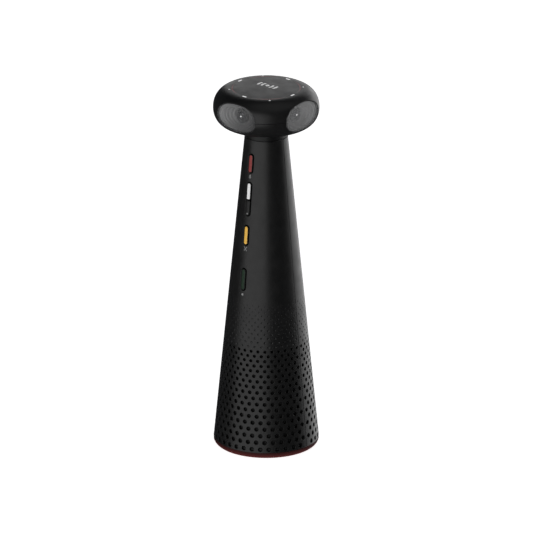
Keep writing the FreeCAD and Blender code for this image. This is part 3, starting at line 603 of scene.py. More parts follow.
def outline_reach(angle, plane):
    """How far the head's surface reaches in its section by a plane, from the lens axis at an angle."""
    low, high = np.zeros(len(angle)), np.full(len(angle), 30.0)
    for _ in range(40):
        middle = (low + high) / 2
        z = LENS_Z + middle * np.sin(angle)
        r = profile_at(height_to_t(z))[0]
        inside = (z < HEAD_Z[1] - HEAD_CROWN) & (z > HEAD_Z[0])
        inside &= r**2 > plane**2 + (middle * np.cos(angle)) ** 2
        low, high = np.where(inside, middle, low), np.where(inside, high, middle)
    return (low + high) / 2


def oval_reach(angle, grow):
    """How far the window's oval reaches from its middle at an angle, when it is larger by grow."""
    a, b = WINDOW_HALF[0] + grow, WINDOW_HALF[1] + grow
    power = WINDOW_ROUNDNESS
    return (np.abs(np.cos(angle) / a) ** power + np.abs(np.sin(angle) / b) ** power) ** (-1 / power)


# The window seat from the head's surface inwards: its reach, its distance from the axis, how much larger
SEAT_RINGS = [
    (outline_reach, WINDOW_PLANE - 0.16, 0.0),
    (outline_reach, WINDOW_PLANE - 0.05, -0.03),
    (outline_reach, WINDOW_PLANE, -0.12),
    (oval_reach, WINDOW_PLANE, 0.18),
    (oval_reach, WINDOW_PLANE - 0.08, 0.1),
    (oval_reach, WINDOW_SEAT, 0.1),
    (oval_reach, WINDOW_SEAT, -GASKET_WIDTH),
    (oval_reach, WINDOW_SEAT - 1.4, -GASKET_WIDTH),
]


def bite(seat_ring, level, sense):
    """One ring of a window seat's half above or below a level, as (across, out, up) points."""
    shape, plane, size = seat_ring

    def reach(angles):
        return shape(angles, plane) + size if shape is outline_reach else shape(angles, size)

    end = np.zeros(1)
    for _ in range(30):  # the angle at which the ring meets the level
        end = np.arcsin((level - LENS_Z) / reach(end))
    angles = np.linspace(end[0], sense * math.pi - end[0], BITE_POINTS)
    far = reach(angles)
    return np.stack([far * np.cos(angles), np.full(BITE_POINTS, plane), LENS_Z + far * np.sin(angles)], 1)


def split_steps():
    """For each seat ring, how far the covers' split line draws back there, and how deep it lies."""
    last = len(SEAT_RINGS) - 1
    for k in range(last + 1):
        lean = math.radians(45 * min(k, 2))
        depth = COVER_BEVEL * (1 - math.cos(lean))
        if k > 2:
            depth = COVER_BEVEL + (HEAD_WALL - CUT_SHORT - COVER_BEVEL) * (k - 2) / (last - 2)
        yield COVER_BEVEL * (1 - math.sin(lean)), depth


def head_edge(sense):
    """Rings of a cover's outer edge: four window seats' halves, and the split line between them."""
    rows = []
    for (spread, depth), seat_ring in zip(split_steps(), SEAT_RINGS):
        level = HEAD_MIDDLE + sense * (SEAM_HALF + spread)
        reach = profile_at(height_to_t([level]))[0] - depth
        seat = bite(seat_ring, level, sense)
        end = math.atan2(seat[0][0], seat[0][1])
        points = []
        for side in range(4):
            azimuth = side * math.pi / 2
            split = np.linspace(azimuth - math.pi / 2 + end, azimuth - end, EQUATOR_POINTS + 2)[1:-1]
            points.append(np.stack([reach * np.sin(split), -reach * np.cos(split),
                                    np.full(EQUATOR_POINTS, level)], 1))
            points.append(on_side(seat[::-1], azimuth))
        rows.append(np.concatenate(points))
    return rows


def head_cover(half, extra_openings, grid):
    rows = head_edge(half.sense)
    # The first row lies on the surface, so its chart points follow from its azimuth and height
    first = rows[0]
    edge = half.chart(height_to_t(first[:, 2]), np.arctan2(first[:, 0], -first[:, 1]))
    if half.upper:  # the rows run with the azimuth, against the sense of an outer edge seen from above
        edge, rows = edge[::-1], [row[::-1] for row in rows]
    rings = []
    for k in range(1, len(rows)):
        along = np.roll(rows[k], -1, 0) - np.roll(rows[k], 1, 0)
        down = rows[min(k + 1, len(rows) - 1)] - rows[k - 1]
        rings.append((rows[k], unit(np.cross(along, down))))
    openings = [Opening(edge, rings, covers=half.beyond_windows)] + extra_openings(half)
    keep = (distances(grid, edge) > GRID_GAP).all(1)
    keep &= np.hypot(*grid.T) < np.hypot(*edge.T).max() - 0.5
    keep &= ~half.beyond_windows(grid)
    for opening in openings[1:]:
        ring = opening.chart_ring
        keep &= (distances(grid, ring) > OPENING_GAP).all(1)
        if opening.covers:
            keep &= ~opening.covers(grid)
        else:
            middle = ring.mean(0)
            keep &= np.hypot(*(grid - middle).T) > np.hypot(*(ring - middle).T).max()
    return skin(half.place, openings, grid[keep], HEAD_WALL)


def top_opening(half, loop, radius, azimuth, bevel=0.12):
    """A through opening in the head's top, from its loop and where its middle lies."""
    offsets, outs = loop
    cos, sin = math.cos(azimuth), math.sin(azimuth)

    def ring(offset):
        x, y = (offsets + outs * offset - np.array([0, radius])).T
        return np.stack([x * cos - y * sin, x * sin + y * cos], 1)

    return cut(half.place, ring, bevel, HEAD_WALL)


def arc_opening(half, middle):
    """The groove of a status light, which bends round the axis."""
    steps = 24

    def ring(offset):
        grow = LIGHT_CLEARANCE + offset
        spread = math.radians(ARC_HALF_ANGLE) + grow / LIGHT_RADIUS
        angles = np.linspace(-spread, spread, steps)
        rho = LIGHT_RADIUS + (ARC_HALF_WIDTH + grow) * np.repeat([1, -1], steps)
        return half.chart(rho, middle + np.concatenate([angles, angles[::-1]]))

    def covers(chart):
        return np.abs(np.hypot(*chart.T) - LIGHT_RADIUS) < ARC_HALF_WIDTH + LIGHT_CLEARANCE + 0.1

    return cut(half.place, ring, 0.1, HEAD_WALL, covers)


def top_openings(half):
    """The holes for the light bars and the microphones, and the grooves between the bars."""
    bar_half = (LIGHT_BAR[0] / 2 + LIGHT_CLEARANCE, LIGHT_BAR[1] / 2 + LIGHT_CLEARANCE)
    bar = rounded_loop(bar_half, (LIGHT_CORNER, LIGHT_CORNER), 0.9, 5)
    openings = []
    for k in range(4):
        side, corner = k * math.pi / 2, (k + 0.5) * math.pi / 2
        openings.append(top_opening(half, bar, LIGHT_RADIUS, side))
        openings.append(top_opening(half, circle(MIC_HOLE, 16), MIC_RADIUS, corner, 0.15))
        openings.append(arc_opening(half, corner))
    return openings


def neck_openings(half):
    """The hole for the neck and the four screw holes round it."""
    _, neck = circle(1, 64)
    below = PROFILE[:, 1] < HEAD_MIDDLE
    screw_t = np.interp(-COVER_SCREW_RADIUS, -PROFILE[below, 0], PROFILE_T[below])
    screw_rho = PROFILE_T[-1] - screw_t + NECK_HOLE
    offsets, outs = circle(COVER_SCREW_HOLE, 24)
    openings = [cut(half.place, lambda offset: neck * (NECK_HOLE + 0.001 + offset), 0.15, HEAD_WALL)]
    for k in range(4):
        azimuth = (k - 0.5) * math.pi / 2
        centre = screw_rho * np.array([math.cos(azimuth), -math.sin(azimuth)])
        openings.append(cut(half.place, lambda offset, c=centre: c + offsets + outs * offset, 0.2, HEAD_WALL))
    return openings


# ---- windows and lenses ----
# They are drawn for the front window in (across, out, up) points and then turned to their sides.
def spokes(count):
    """Angles round a lens axis, and their directions."""
    angles = full_turn(count)
    return angles, np.stack([np.cos(angles), np.zeros(count), np.sin(angles)], 1)


def around(directions, reach, out):
    """Points at a reach from a lens axis, and at a distance from the body's axis."""
    return directions * np.reshape(reach, (-1, 1)) + LENS_MIDDLE + OUTWARD * out


def turned(rings, sides, front=None, back=None, crisp=True):
    """A solid of rings of (points, normals), turned to the given sides. They close on themselves, or front
    and back are the distances of two points that close the last and the first ring."""
    solid = Solid()
    for side in sides:
        azimuth = side * math.pi / 2

        def add(points, normals):
            return solid.add(on_side(points, azimuth), on_side(normals, azimuth))

        made = [add(*ring) for ring in rings]
        if front is None:
            solid.join(made + made[:1])
            continue
        solid.join(made)
        solid.fan(made[-1], add([LENS_MIDDLE + OUTWARD * front], [OUTWARD]))
        first = rings[0][0]
        edge = add(first, np.tile(-OUTWARD, (len(first), 1))) if crisp else made[0]
        solid.fan(edge[::-1], add([LENS_MIDDLE + OUTWARD * back], [-OUTWARD]))
    return solid


def window_plate(side):
    """A polished oval plate with a bevelled front edge."""
    angles, directions = spokes(128)
    rim = unit(directions / [WINDOW_HALF[0], 1, WINDOW_HALF[1]])
    # how much larger than the window, distance from the axis, the normal's lean to the rim and outwards
    steps = [(0.0, WINDOW_BACK, 1, 0), (0.0, WINDOW_FRONT - 0.35, 1, 0), (-0.04, WINDOW_FRONT - 0.3, 1, 0.3),
             (-0.3, WINDOW_FRONT - 0.04, 0.4, 1), (-0.4, WINDOW_FRONT, 0, 1)]
    steps += [(grow, WINDOW_FRONT, 0, 1) for grow in (-2.5, -5.0, -8.0)]
    rings = [(around(directions, oval_reach(angles, grow), out), rim * to_rim + OUTWARD * outwards)
             for grow, out, to_rim, outwards in steps]
    return turned(rings, [side], WINDOW_FRONT, WINDOW_BACK)


def lens_lathe(outline, segments=96, sharp=28):
    """Turned parts of all four cameras, from an outline of (radius, distance from the body's axis)."""
    _, directions = spokes(segments)
    rows = [around(directions, r, out) for r, out in outline]
    points = [on_side(np.concatenate(rows), side * math.pi / 2) for side in range(4)]
    faces = [face for side in range(4)
             for face in row_faces(len(rows), segments, side * len(rows) * segments, closed=True)]
    return flat_mesh(np.concatenate(points), faces, sharp)


def window_seals():
    """A narrow black ring of rubber behind each window's edge."""
    angles, directions = spokes(128)
    low, high, wide, bevel = WINDOW_SEAT, WINDOW_BACK, SEAL_WIDTH, 0.1
    outline = [(0.0, low + bevel, 1, -1), (0.0, high - bevel, 1, 1), (-bevel, high, 1, 1),
               (bevel - wide, high, -1, 1), (-wide, high - bevel, -1, 1), (-wide, low + bevel, -1, -1),
               (bevel - wide, low, -1, -1), (-bevel, low, 1, -1)]
    rings = [(around(directions, oval_reach(angles, grow), out), directions * sideways + OUTWARD * outward)
             for grow, out, sideways, outward in outline]
    return turned(rings, range(4))


def lens_bowls():
    """The funnel of each camera, which deepens in rings from the window's oval to the round lens holder."""
    angles, directions = spokes(96)
    oval, depth = oval_reach(angles, -GASKET_WIDTH - 0.05), BOWL_OUT[0] - BOWL_OUT[1]

    def brim(grow, out):
        return around(directions, oval_reach(angles, grow), out), np.tile(OUTWARD, (len(angles), 1))

    def wall(share):
        """One ring of the bowl: it steepens towards the lens."""
        phase = 2 * math.pi * BOWL_RINGS * share
        out = BOWL_OUT[0] - depth * share**1.5 + BOWL_RIPPLE * math.sin(phase)
        fall = 1.5 * depth * share**0.5 - BOWL_RIPPLE * 2 * math.pi * BOWL_RINGS * math.cos(phase)
        points = around(directions, oval + (BOWL_RADIUS - oval) * share, out)
        return points, OUTWARD - directions * (fall / (oval - BOWL_RADIUS))[:, None]

    # rings of the face, each with the wall's thickness there
    rings = [(*brim(-SEAL_WIDTH - 0.05, BOWL_BRIM), 0.4), (*brim(-GASKET_WIDTH, BOWL_BRIM - 0.05), 0.35)]
    rings += [(*wall(share), BOWL_WALL) for share in np.linspace(0, 1, 8 * BOWL_RINGS + 1)]
    face = [(points, normals) for points, normals, _ in rings]
    back = [(points - OUTWARD * thick, -normals) for points, normals, thick in rings]
    return turned(face + back[::-1], range(4))


def painted_lens_glints():
    """A small glowing disc in the middle of each lens, a painted glint that stands for a catchlight on the
    lens.
    """
    _, directions = spokes(20)
    apex = LENS_FRONT + LENS_RISE
    rings = []
    for lean in np.radians((100, 90, 60, 30)):
        sin, cos = math.sin(lean), math.cos(lean)
        points = around(directions, GLINT_RADIUS * sin, apex + GLINT_RISE * cos)
        rings.append((points, directions * sin + OUTWARD * cos))
    return turned(rings, range(4), apex + GLINT_RISE, apex - 0.05, crisp=False)


def lens_fronts():
    """The domed front element of each camera."""
    _, directions = spokes(64)
    centre, back = LENS_FRONT + LENS_RISE - LENS_DOME, LENS_FRONT - LENS_DEPTH
    rows = [around(directions, LENS_RADIUS, back)]
    for radius in (LENS_RADIUS, 3.3, 2.6, 1.9, 1.2, 0.6):
        rows.append(around(directions, radius, centre + math.sqrt(LENS_DOME**2 - radius**2)))
    rings = [(points, points - LENS_MIDDLE - OUTWARD * centre) for points in rows]
    return turned(rings, range(4), centre + LENS_DOME, back)


# ---- buttons ----
def front_frame(z):
    """Origin, across, up and out directions on the body's -Y side at a height."""
    up = np.array([0, math.sin(SLOPE), math.cos(SLOPE)])
    out = np.array([0, -math.cos(SLOPE), math.sin(SLOPE)])
    return np.array([0, -cone_radius(z), z]), np.array([1.0, 0, 0]), up, out


def button_solid(key, rows):
    """A button's solid from rings of (inset from its outline, height, lean of the normal in degrees)."""
    low, high, low_corner, high_corner, _ = BUTTONS[key]
    origin, across, up, out = front_frame((low + high) / 2)
    solid, rings = Solid(), []
    for inset, height, degrees in rows:
        corners = (max(low_corner - inset, 0.08), max(high_corner - inset, 0.08))
        half = (BUTTON_WIDTH / 2 - inset, (high - low) / 2 - inset)
        local, outs = rounded_loop(half, corners, 60.0, 10)
        lean = math.radians(degrees)
        sides = np.outer(outs[:, 0], across) + np.outer(outs[:, 1], up)
        points = origin + np.outer(local[:, 0], across) + np.outer(local[:, 1], up) + out * height
        rings.append(solid.add(points, sides * math.sin(lean) + out * math.cos(lean)))
    solid.join(rings)
    solid.faces += [rings[-1].tolist(), rings[0].tolist()[::-1]]
    return solid


def button_cap(key):
    """The coloured face, slightly crowned, set into the button's dark skirt."""
    top = BUTTON_PROUD - 0.12
    rows = [(0, -0.5, 90), (0, -0.06, 90), (0.02, -0.02, 55), (0.08, 0.0, 25), (0.25, 0.05, 10),
            (0.65, 0.1, 5), (1.15, 0.12, 0)]
    return button_solid(key, [(FACE_INSET + inset, top + height, degrees) for inset, height, degrees in rows])


def button_skirt(key):
    """The dark body of the button round its coloured face, with a rounded rim."""
    fillet, top = 0.25, BUTTON_PROUD - 0.15
    rows = [(0, CAP_INNER, 90)]
    for degrees in (90, 68, 45, 22, 0):
        lean = math.radians(degrees)
        rows.append((fillet * (1 - math.sin(lean)), top - fillet * (1 - math.cos(lean)), degrees))
    return button_solid(key, rows)


def button_flange(key):
    """The dark flange that keeps the cap behind the wall, and the post that meets the switch."""
    low, high, low_corner, high_corner, _ = BUTTONS[key]
    origin, across, up, out = front_frame((low + high) / 2)
    half = (high - low) / 2
    y0 = -half - (FLANGE_MARGIN if low_corner > SQUARE_CORNER else 0)
    y1 = half + (FLANGE_MARGIN if high_corner > SQUARE_CORNER else 0)
    plan, _ = rounded_loop((FLANGE_WIDTH / 2, (y1 - y0) / 2), (0.4, 0.4), 60.0, 4)
    post, _ = circle(POST_RADIUS, 24)
    points, faces = [], []

    def prism(loop, shift, low_out, high_out, bevel):
        start, count = len(points), len(loop)
        shrink = 1 - bevel / np.abs(loop).max(0)
        rings = [(shrink, low_out), (1, low_out + bevel), (1, high_out - bevel), (shrink, high_out)]
        for scale, height in rings:
            points.extend(origin + across * x + up * (y + shift) + out * height for x, y in loop * scale)
        faces.extend(row_faces(4, count, start))
        faces.append([start + k for k in range(count)][::-1])
        faces.append([start + 3 * count + k for k in range(count)])

    prism(plan, (y0 + y1) / 2, FLANGE_INNER, CAP_INNER, 0.12)
    prism(post, 0.0, POST_INNER, FLANGE_INNER, 0.08)
    return flat_mesh(points, faces)


# ---- printed marks ----
def stroke(points, width):
    """The outline of a line of some width with round ends, through points, as one closed loop."""
    line = np.array(points, float)
    half = width / 2
    along = unit(np.gradient(line, axis=0))
    side = np.stack([-along[:, 1], along[:, 0]], 1)
    caps = []
    for end, forward in ((line[-1], along[-1]), (line[0], -along[0])):
        start = math.atan2(forward[1], forward[0]) + math.pi / 2
        angles = start - np.linspace(0, math.pi, 7)[1:-1]
        caps.append(end + half * np.stack([np.cos(angles), np.sin(angles)], 1))
    return np.concatenate([line + side * half, caps[0], (line - side * half)[::-1], caps[1]])[::-1]


def arc_points(radius, start, stop):
    angles = np.radians(np.linspace(start, stop, 14))
    return [(radius * math.cos(a), radius * math.sin(a)) for a in angles]


def disc(radius):
    return circle(radius, 28)[0]


def fill(loop):
    """Triangles inside one closed loop, anticlockwise."""
    edges = [(k, (k + 1) % len(loop)) for k in range(len(loop))]
    result = delaunay_2d_cdt([Vector(p) for p in loop.tolist()], edges, [], 2, 1e-7)
    faces = []
    for a, b, c in ([result[3][v][0] for v in face] for face in result[2]):
        u, v = loop[b] - loop[a], loop[c] - loop[a]
        faces.append([a, b, c] if u[0] * v[1] - u[1] * v[0] > 0 else [a, c, b])
    return faces


def print_marks(loops, place, thick=0.03):
    """Flat printed shapes: place(points, height) puts local points at a height above a surface."""
    points, faces = [], []
    for loop in loops:
        base, count = sum(len(p) for p in points), len(loop)
        points += [place(loop, -0.05), place(loop, thick)]
        faces += row_faces(2, count, base)
        for face in fill(loop):
            faces.append([base + count + i for i in face])
            faces.append([base + i for i in face[::-1]])
    return flat_mesh(np.concatenate(points), faces)


def on_body(z0):
    """Puts flat points onto the body's -Y side about a height."""
    def place(loop, height):
        z = z0 + loop[:, 1] * math.cos(SLOPE)
        azimuth = loop[:, 0] / cone_radius(z)
        r = cone_radius(z) + height
        return np.stack([r * np.sin(azimuth), -r * np.cos(azimuth), z], 1)
    return place


def on_key(key, rise):
    """Puts flat points onto a button's face, about a point that lies a rise above its middle."""
    origin, across, up, out = front_frame(sum(BUTTONS[key][:2]) / 2)

    def place(loop, height):
        return (origin + np.outer(loop[:, 0], across) + np.outer(loop[:, 1] + rise, up)
                + out * (BUTTON_PROUD + height))
    return place


def on_top(centre):
    """Puts flat points onto the head's crown about a point, no higher than the crown's middle."""
    def place(loop, height):
        x, y = (loop + centre).T
        z = HEAD_Z[1] - HEAD_CROWN * (x**2 + y**2) / HEAD_FLAT**2
        return np.stack([x, y, np.minimum(z + height, HEAD_Z[1] - 0.001)], 1)
    return place


# ---- materials ----
def set_inputs(tree, made, inputs):
    """Sets a node's inputs, given as values or as other nodes' outputs."""
    for key, value in inputs.items():
        if isinstance(value, bpy.types.NodeSocket):
            tree.links.new(value, made.inputs[key])
        else:
            made.inputs[key].default_value = value


def node(tree, kind, inputs, output=0, **settings):
    """Adds a shader node and returns one of its outputs."""
    made = tree.nodes.new("ShaderNode" + kind)
    for key, value in settings.items():
        setattr(made, key, value)
    set_inputs(tree, made, inputs)
    return made.outputs[output]


def math_node(tree, operation, *values):
    return node(tree, "Math", dict(enumerate(values)), operation=operation)


def mapped(tree, value, before, after=(0.0, 1.0)):
    """A value's range turned into another."""
    return node(tree, "MapRange", {"Value": value, "From Min": before[0], "From Max": before[1],
                                   "To Min": after[0], "To Max": after[1]})


def mixed(tree, share, *colours):
    """Mixes two colours, each (red, green, blue) or one number for a grey."""
    first, second = ((*(c if isinstance(c, tuple) else (c,) * 3), 1) for c in colours)
    return node(tree, "Mix", {0: share, 6: first, 7: second}, 2, data_type="RGBA")


def noise(tree, position, scale, detail, roughness):
    inputs = {"Vector": position, "Scale": scale, "Detail": detail, "Roughness": roughness}
    return node(tree, "TexNoise", inputs, "Fac")


def bumped(tree, height, strength, distance):
    return node(tree, "Bump", {"Height": height, "Strength": strength, "Distance": distance}, "Normal")


def principled(name):
    material = bpy.data.materials.new(name)
    material.use_nodes = True
    return material, material.node_tree, material.node_tree.nodes["Principled BSDF"]


def surface(name, colour, other, gloss, relief, scale, metal=0.0, ior=1.45):
    """A surface mottled between two colours, with uneven gloss and a fine relief, all in the object's frame.
    gloss is (lowest, highest) roughness, relief the height of the grain in millimetres, and scale how many
    grains there are in a metre."""
    material, tree, shader = principled(name)
    position = node(tree, "TexCoord", {}, "Object")
    grain = noise(tree, position, scale, 4.0, 0.6)
    cloud = noise(tree, position, scale / 22, 3.0, 0.55)
    mottle = math_node(tree, "MULTIPLY_ADD", grain, 0.5, math_node(tree, "MULTIPLY", cloud, 0.5))
    set_inputs(tree, shader, {
        "Base Color": mixed(tree, mapped(tree, mottle, (0.3, 0.7)), colour, other),
        "Roughness": mapped(tree, cloud, (0.3, 0.7), gloss),
        "Normal": bumped(tree, grain, 0.6, relief * 0.001),
        "Metallic": metal,
        "IOR": ior,
    })
    return material


def woven(name, dark, light, pitch, radius=0.038):
    """Cloth woven round the axis: threads up a wall and round it, over and under each other. Their pitch and
    the wall's radius are in metres."""
    material, tree, shader = principled(name)
    split = node(tree, "SeparateXYZ", {0: node(tree, "TexCoord", {}, "Object")}, "X").node.outputs
    angle = math_node(tree, "ARCTAN2", split["Y"], split["X"])
    waves = [math_node(tree, "SINE", math_node(tree, "MULTIPLY", source, 2 * math.pi * turns))
             for source, turns in ((angle, radius / pitch), (split["Z"], 1 / pitch))]
    weave = mapped(tree, math_node(tree, "MULTIPLY", *waves), (-1.0, 1.0))
    set_inputs(tree, shader, {
        "Base Color": mixed(tree, weave, dark, light),
        "Normal": bumped(tree, weave, 0.7, pitch * 0.25),
        "Roughness": 0.85,
    })
    return material


def dimmed(material, measure, near, far, share):
    """Darkens a surface by a measure made in its node tree: none at near, and down to a share at far."""
    tree = material.node_tree
    base = tree.nodes["Principled BSDF"].inputs["Base Color"]
    position = node(tree, "TexCoord", {}, "Object")
    fall = mapped(tree, measure(tree, position), (near, far), (1.0, share))
    scaled = node(tree, "VectorMath", {0: base.links[0].from_socket, "Scale": fall}, operation="SCALE")
    tree.links.new(scaled, base)


def distance_along(direction):
    """Measures how far a point lies along a direction."""
    def measure(tree, position):
        inputs = {0: position, 1: unit(np.array(direction, float))}
        return node(tree, "VectorMath", inputs, "Value", operation="DOT_PRODUCT")
    return measure


def area_from_axes(tree, position):
    """Measures |x y|, which is greatest halfway between the X and Y axes."""
    split = node(tree, "SeparateXYZ", {0: position}).node.outputs
    return math_node(tree, "ABSOLUTE", math_node(tree, "MULTIPLY", split["X"], split["Y"]))


# name: (colour, other colour, roughness, relief, grains in a metre, metal, index of refraction)
SURFACES = {
    "body_plastic": (0.004, 0.0065, (0.34, 0.44), 0.02, 2600.0, 0.0, 1.46),
    "head_plastic": (0.0045, 0.007, (0.32, 0.42), 0.02, 2600.0, 0.0, 1.46),
    "collar_plastic": (0.003, 0.005, (0.42, 0.52), 0.02, 2600.0, 0.0, 1.4),
    "panel_plastic": (0.012, 0.018, (0.45, 0.58), 0.03, 2200.0),
    "inner_plastic": (0.02, 0.03, (0.5, 0.65), 0.03, 1500.0),
    "switch_plastic": (0.02, 0.03, (0.4, 0.5), 0.02, 1800.0),
    "lens_plastic": (0.1, 0.13, (0.3, 0.4), 0.01, 2400.0),
    "baffle_plastic": (0.8, 0.88, (0.45, 0.55), 0.01, 1800.0, 0.2),
    "jack_plastic": (0.015, 0.02, (0.25, 0.32), 0.01, 1400.0),
    "cone_paper": (0.02, 0.045, (0.75, 0.9), 0.08, 700.0),
    "foot_rubber": ((0.095, 0.013, 0.013), (0.12, 0.018, 0.017), (0.55, 0.68), 0.03, 1800.0, 0.0, 1.22),
    "surround_rubber": (0.012, 0.02, (0.5, 0.6), 0.02, 1200.0),
    "gasket_rubber": (0.008, 0.014, (0.55, 0.7), 0.02, 1500.0),
    "screw_steel": (0.4, 0.55, (0.25, 0.4), 0.01, 1600.0, 1.0),
    "socket_steel": (0.5, 0.66, (0.18, 0.3), 0.01, 1200.0, 1.0),
    "driver_steel": (0.03, 0.06, (0.35, 0.5), 0.02, 1000.0, 0.6),
    "mesh_steel": (0.5, 0.85, (0.35, 0.45), 0.08, 5200.0, 0.3),
    "ballast_iron": (0.07, 0.14, (0.6, 0.8), 0.15, 600.0, 0.8),
    "magnet_ceramic": (0.05, 0.08, (0.45, 0.6), 0.03, 900.0),
    "coil_copper": ((0.6, 0.26, 0.1), (0.78, 0.4, 0.2), (0.3, 0.4), 0.05, 2000.0, 1.0),
    "chassis_aluminium": (0.5, 0.62, (0.35, 0.5), 0.03, 900.0, 1.0),
    "microphone_brass": ((0.66, 0.5, 0.22), (0.8, 0.63, 0.32), (0.2, 0.3), 0.01, 1500.0, 1.0),
    "circuit_board": ((0.008, 0.07, 0.03), (0.02, 0.16, 0.07), (0.2, 0.4), 0.04, 420.0),
    "cable_film": ((0.3, 0.13, 0.03), (0.46, 0.23, 0.07), (0.25, 0.35), 0.01, 700.0),
    "led_resin": ((0.8, 0.76, 0.5), (0.9, 0.86, 0.62), (0.15, 0.25), 0.01, 1500.0),
    "light_guide": (0.75, 0.86, (0.3, 0.4), 0.01, 1800.0),
    "status_red": ((0.17, 0.012, 0.014), (0.22, 0.02, 0.022), (0.25, 0.35), 0.01, 1600.0),
    "lens_glass": ((0.02, 0.022, 0.03), (0.025, 0.0275, 0.0375), (0.06, 0.09), 0.0005, 260.0, 0.0, 1.9),
    # the next material glows as a painted glint in the middle of each lens
    "painted_glint_glow": (0.6, 0.8, (0.1, 0.15), 0.001, 1500.0),
    "smoked_glass": ((0.1, 0.101, 0.103), (0.125, 0.12625, 0.12875), (0.05, 0.09), 0.0005, 260.0, 0.0, 1.5),
    "button_red": ((0.21, 0.022, 0.02), (0.26, 0.03, 0.027), (0.4, 0.5), 0.01, 2200.0),
    "button_white": (0.74, 0.82, (0.32, 0.42), 0.01, 2200.0),
    "button_grey": (0.004, 0.0065, (0.4, 0.5), 0.01, 2200.0),
    "button_yellow": ((0.72, 0.4, 0.045), (0.82, 0.48, 0.06), (0.32, 0.42), 0.01, 2200.0),
    "button_green": ((0.004, 0.019, 0.007), (0.006, 0.026, 0.01), (0.45, 0.55), 0.01, 2200.0, 0.0, 1.38),
    "print_grey": (0.2, 0.26, (0.5, 0.6), 0.005, 3000.0),
    "print_white": (0.7, 0.82, (0.45, 0.55), 0.005, 3000.0),
    "floor_paper": (0.86, 0.9, (0.7, 0.8), 0.02, 300.0),
}
ALPHAS = {"lens_glass": 0.9, "smoked_glass": 0.4}  # the share of the light from behind that each stops
# Glows: the floor is evenly bright and the light guides carry the lamps' light, while the glows of the
# microphone mesh, the lens glints and the white print on the crown are painted light
GLOWS = {"mesh_steel": 0.5, "light_guide": 0.5, "painted_glint_glow": 2.2, "print_white": 0.3, "floor_paper": 0.9}

MATERIALS = {name: surface(name, *values) for name, values in SURFACES.items()}
MATERIALS["grille_cloth"] = woven("grille_cloth", 0.002, 0.006, 0.0006)
MATERIALS["spider_cloth"] = woven("spider_cloth", (0.42, 0.3, 0.13), (0.6, 0.46, 0.24), 0.0009)
for name, alpha in ALPHAS.items():
    MATERIALS[name].node_tree.nodes["Principled BSDF"].inputs["Alpha"].default_value = alpha
for name, glow in GLOWS.items():
    glowing = MATERIALS[name].node_tree.nodes["Principled BSDF"].inputs
    glowing["Emission Color"].default_value = (1, 1, 1, 1)
    glowing["Emission Strength"].default_value = glow

# Painted shade: the funnels and the glass are painted darker towards the head's corner between the front and
# the right window
dimmed(MATERIALS["baffle_plastic"], distance_along((1, -1, 0)), 0.013, 0.0365, 0.0)
dimmed(MATERIALS["smoked_glass"], distance_along((0.5, -1, 0)), 0.027, 0.042, 0.3)
# Painted shade: the foot keeps its full red along its lower edge and is painted darker towards its top
dimmed(MATERIALS["foot_rubber"], distance_along((0, 0, 1)), 0.0008, 0.0042, 0.35)
# The status lights fade towards their ends
dimmed(MATERIALS["status_red"], area_from_axes, 0.00036, 0.00022, 0.05)

# Every carried-over CAD node takes the material of its record slot
for part in frame["record"]["subparts"]:
    mesh = nodes[part["node"]].data
    mesh.materials.clear()
    mesh.materials.append(MATERIALS[part["material_slot"]])


# ---- the pieces ----
def place_mesh(name, mesh, material):
    mesh.name = name
    mesh.materials.append(MATERIALS[material])
    placed = bpy.data.objects.new(name, mesh)
    bpy.context.scene.collection.objects.link(placed)
    return placed


def piece(name, shape, body, slot, *replaced, material=None):
    """Makes a solid or a mesh a piece that rides on a body and may stand for CAD nodes."""
    mesh = shape.mesh() if isinstance(shape, Solid) else shape
    placed = place_mesh(name, mesh, material or slot)
    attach(placed, body)
    if replaced:
        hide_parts(*replaced)


def build_body():
    front, rear = cone_face(0.0), cone_face(math.pi)
    piece("body_front_half", shell_half(front, *slot_openings(front)), "tower", "body_plastic", "front_shell")
    z_middle = sum(PANEL_Z) / 2
    half_u = math.asin(PANEL_HALF_WIDTH / cone_radius(z_middle)) * CHART_RADIUS
    block = (0.0, z_middle, half_u, PANEL_Z[1] - z_middle)
    piece("body_rear_half", shell_half(rear, [panel_opening(rear)], [block], near_panel),
          "tower", "body_plastic", "rear_shell")
    # the outlines' corners are (radius, height, corner radius)
    foot = [(34.0, 0.0, 0.5), (38.6, 0.0, 0.0), (39.8, 0.42, 0.0), (40.79, 1.2, 0.0), (41.5, 2.1, 0.0),
            (41.99, 3.2, 0.0), (41.99, 5.2, 0.25), (36.5, 5.2, 0.0), (36.5, 3.0, 0.0), (34.0, 3.0, 0.4)]
    piece("foot_band", lathe(rounded_outline(foot)), "tower", "foot_rubber", "foot_ring")
    low, high = cone_radius(SHELL_Z[1]) - 0.35, cone_radius(HEAD_Z[0]) - 0.35
    neck = [(8.5, 258.0, 0.0), (14.2, 258.0, 0.0), (14.2, 260.1, 0.0), (low, 260.1, 0.2),
            (high, HEAD_Z[0], 0.15), (12.8, HEAD_Z[0], 0.0), (12.8, 271.3, 0.3), (8.5, 271.3, 0.3)]
    piece("neck_band", lathe(rounded_outline(neck)), "tower", "collar_plastic", "neck_collar")


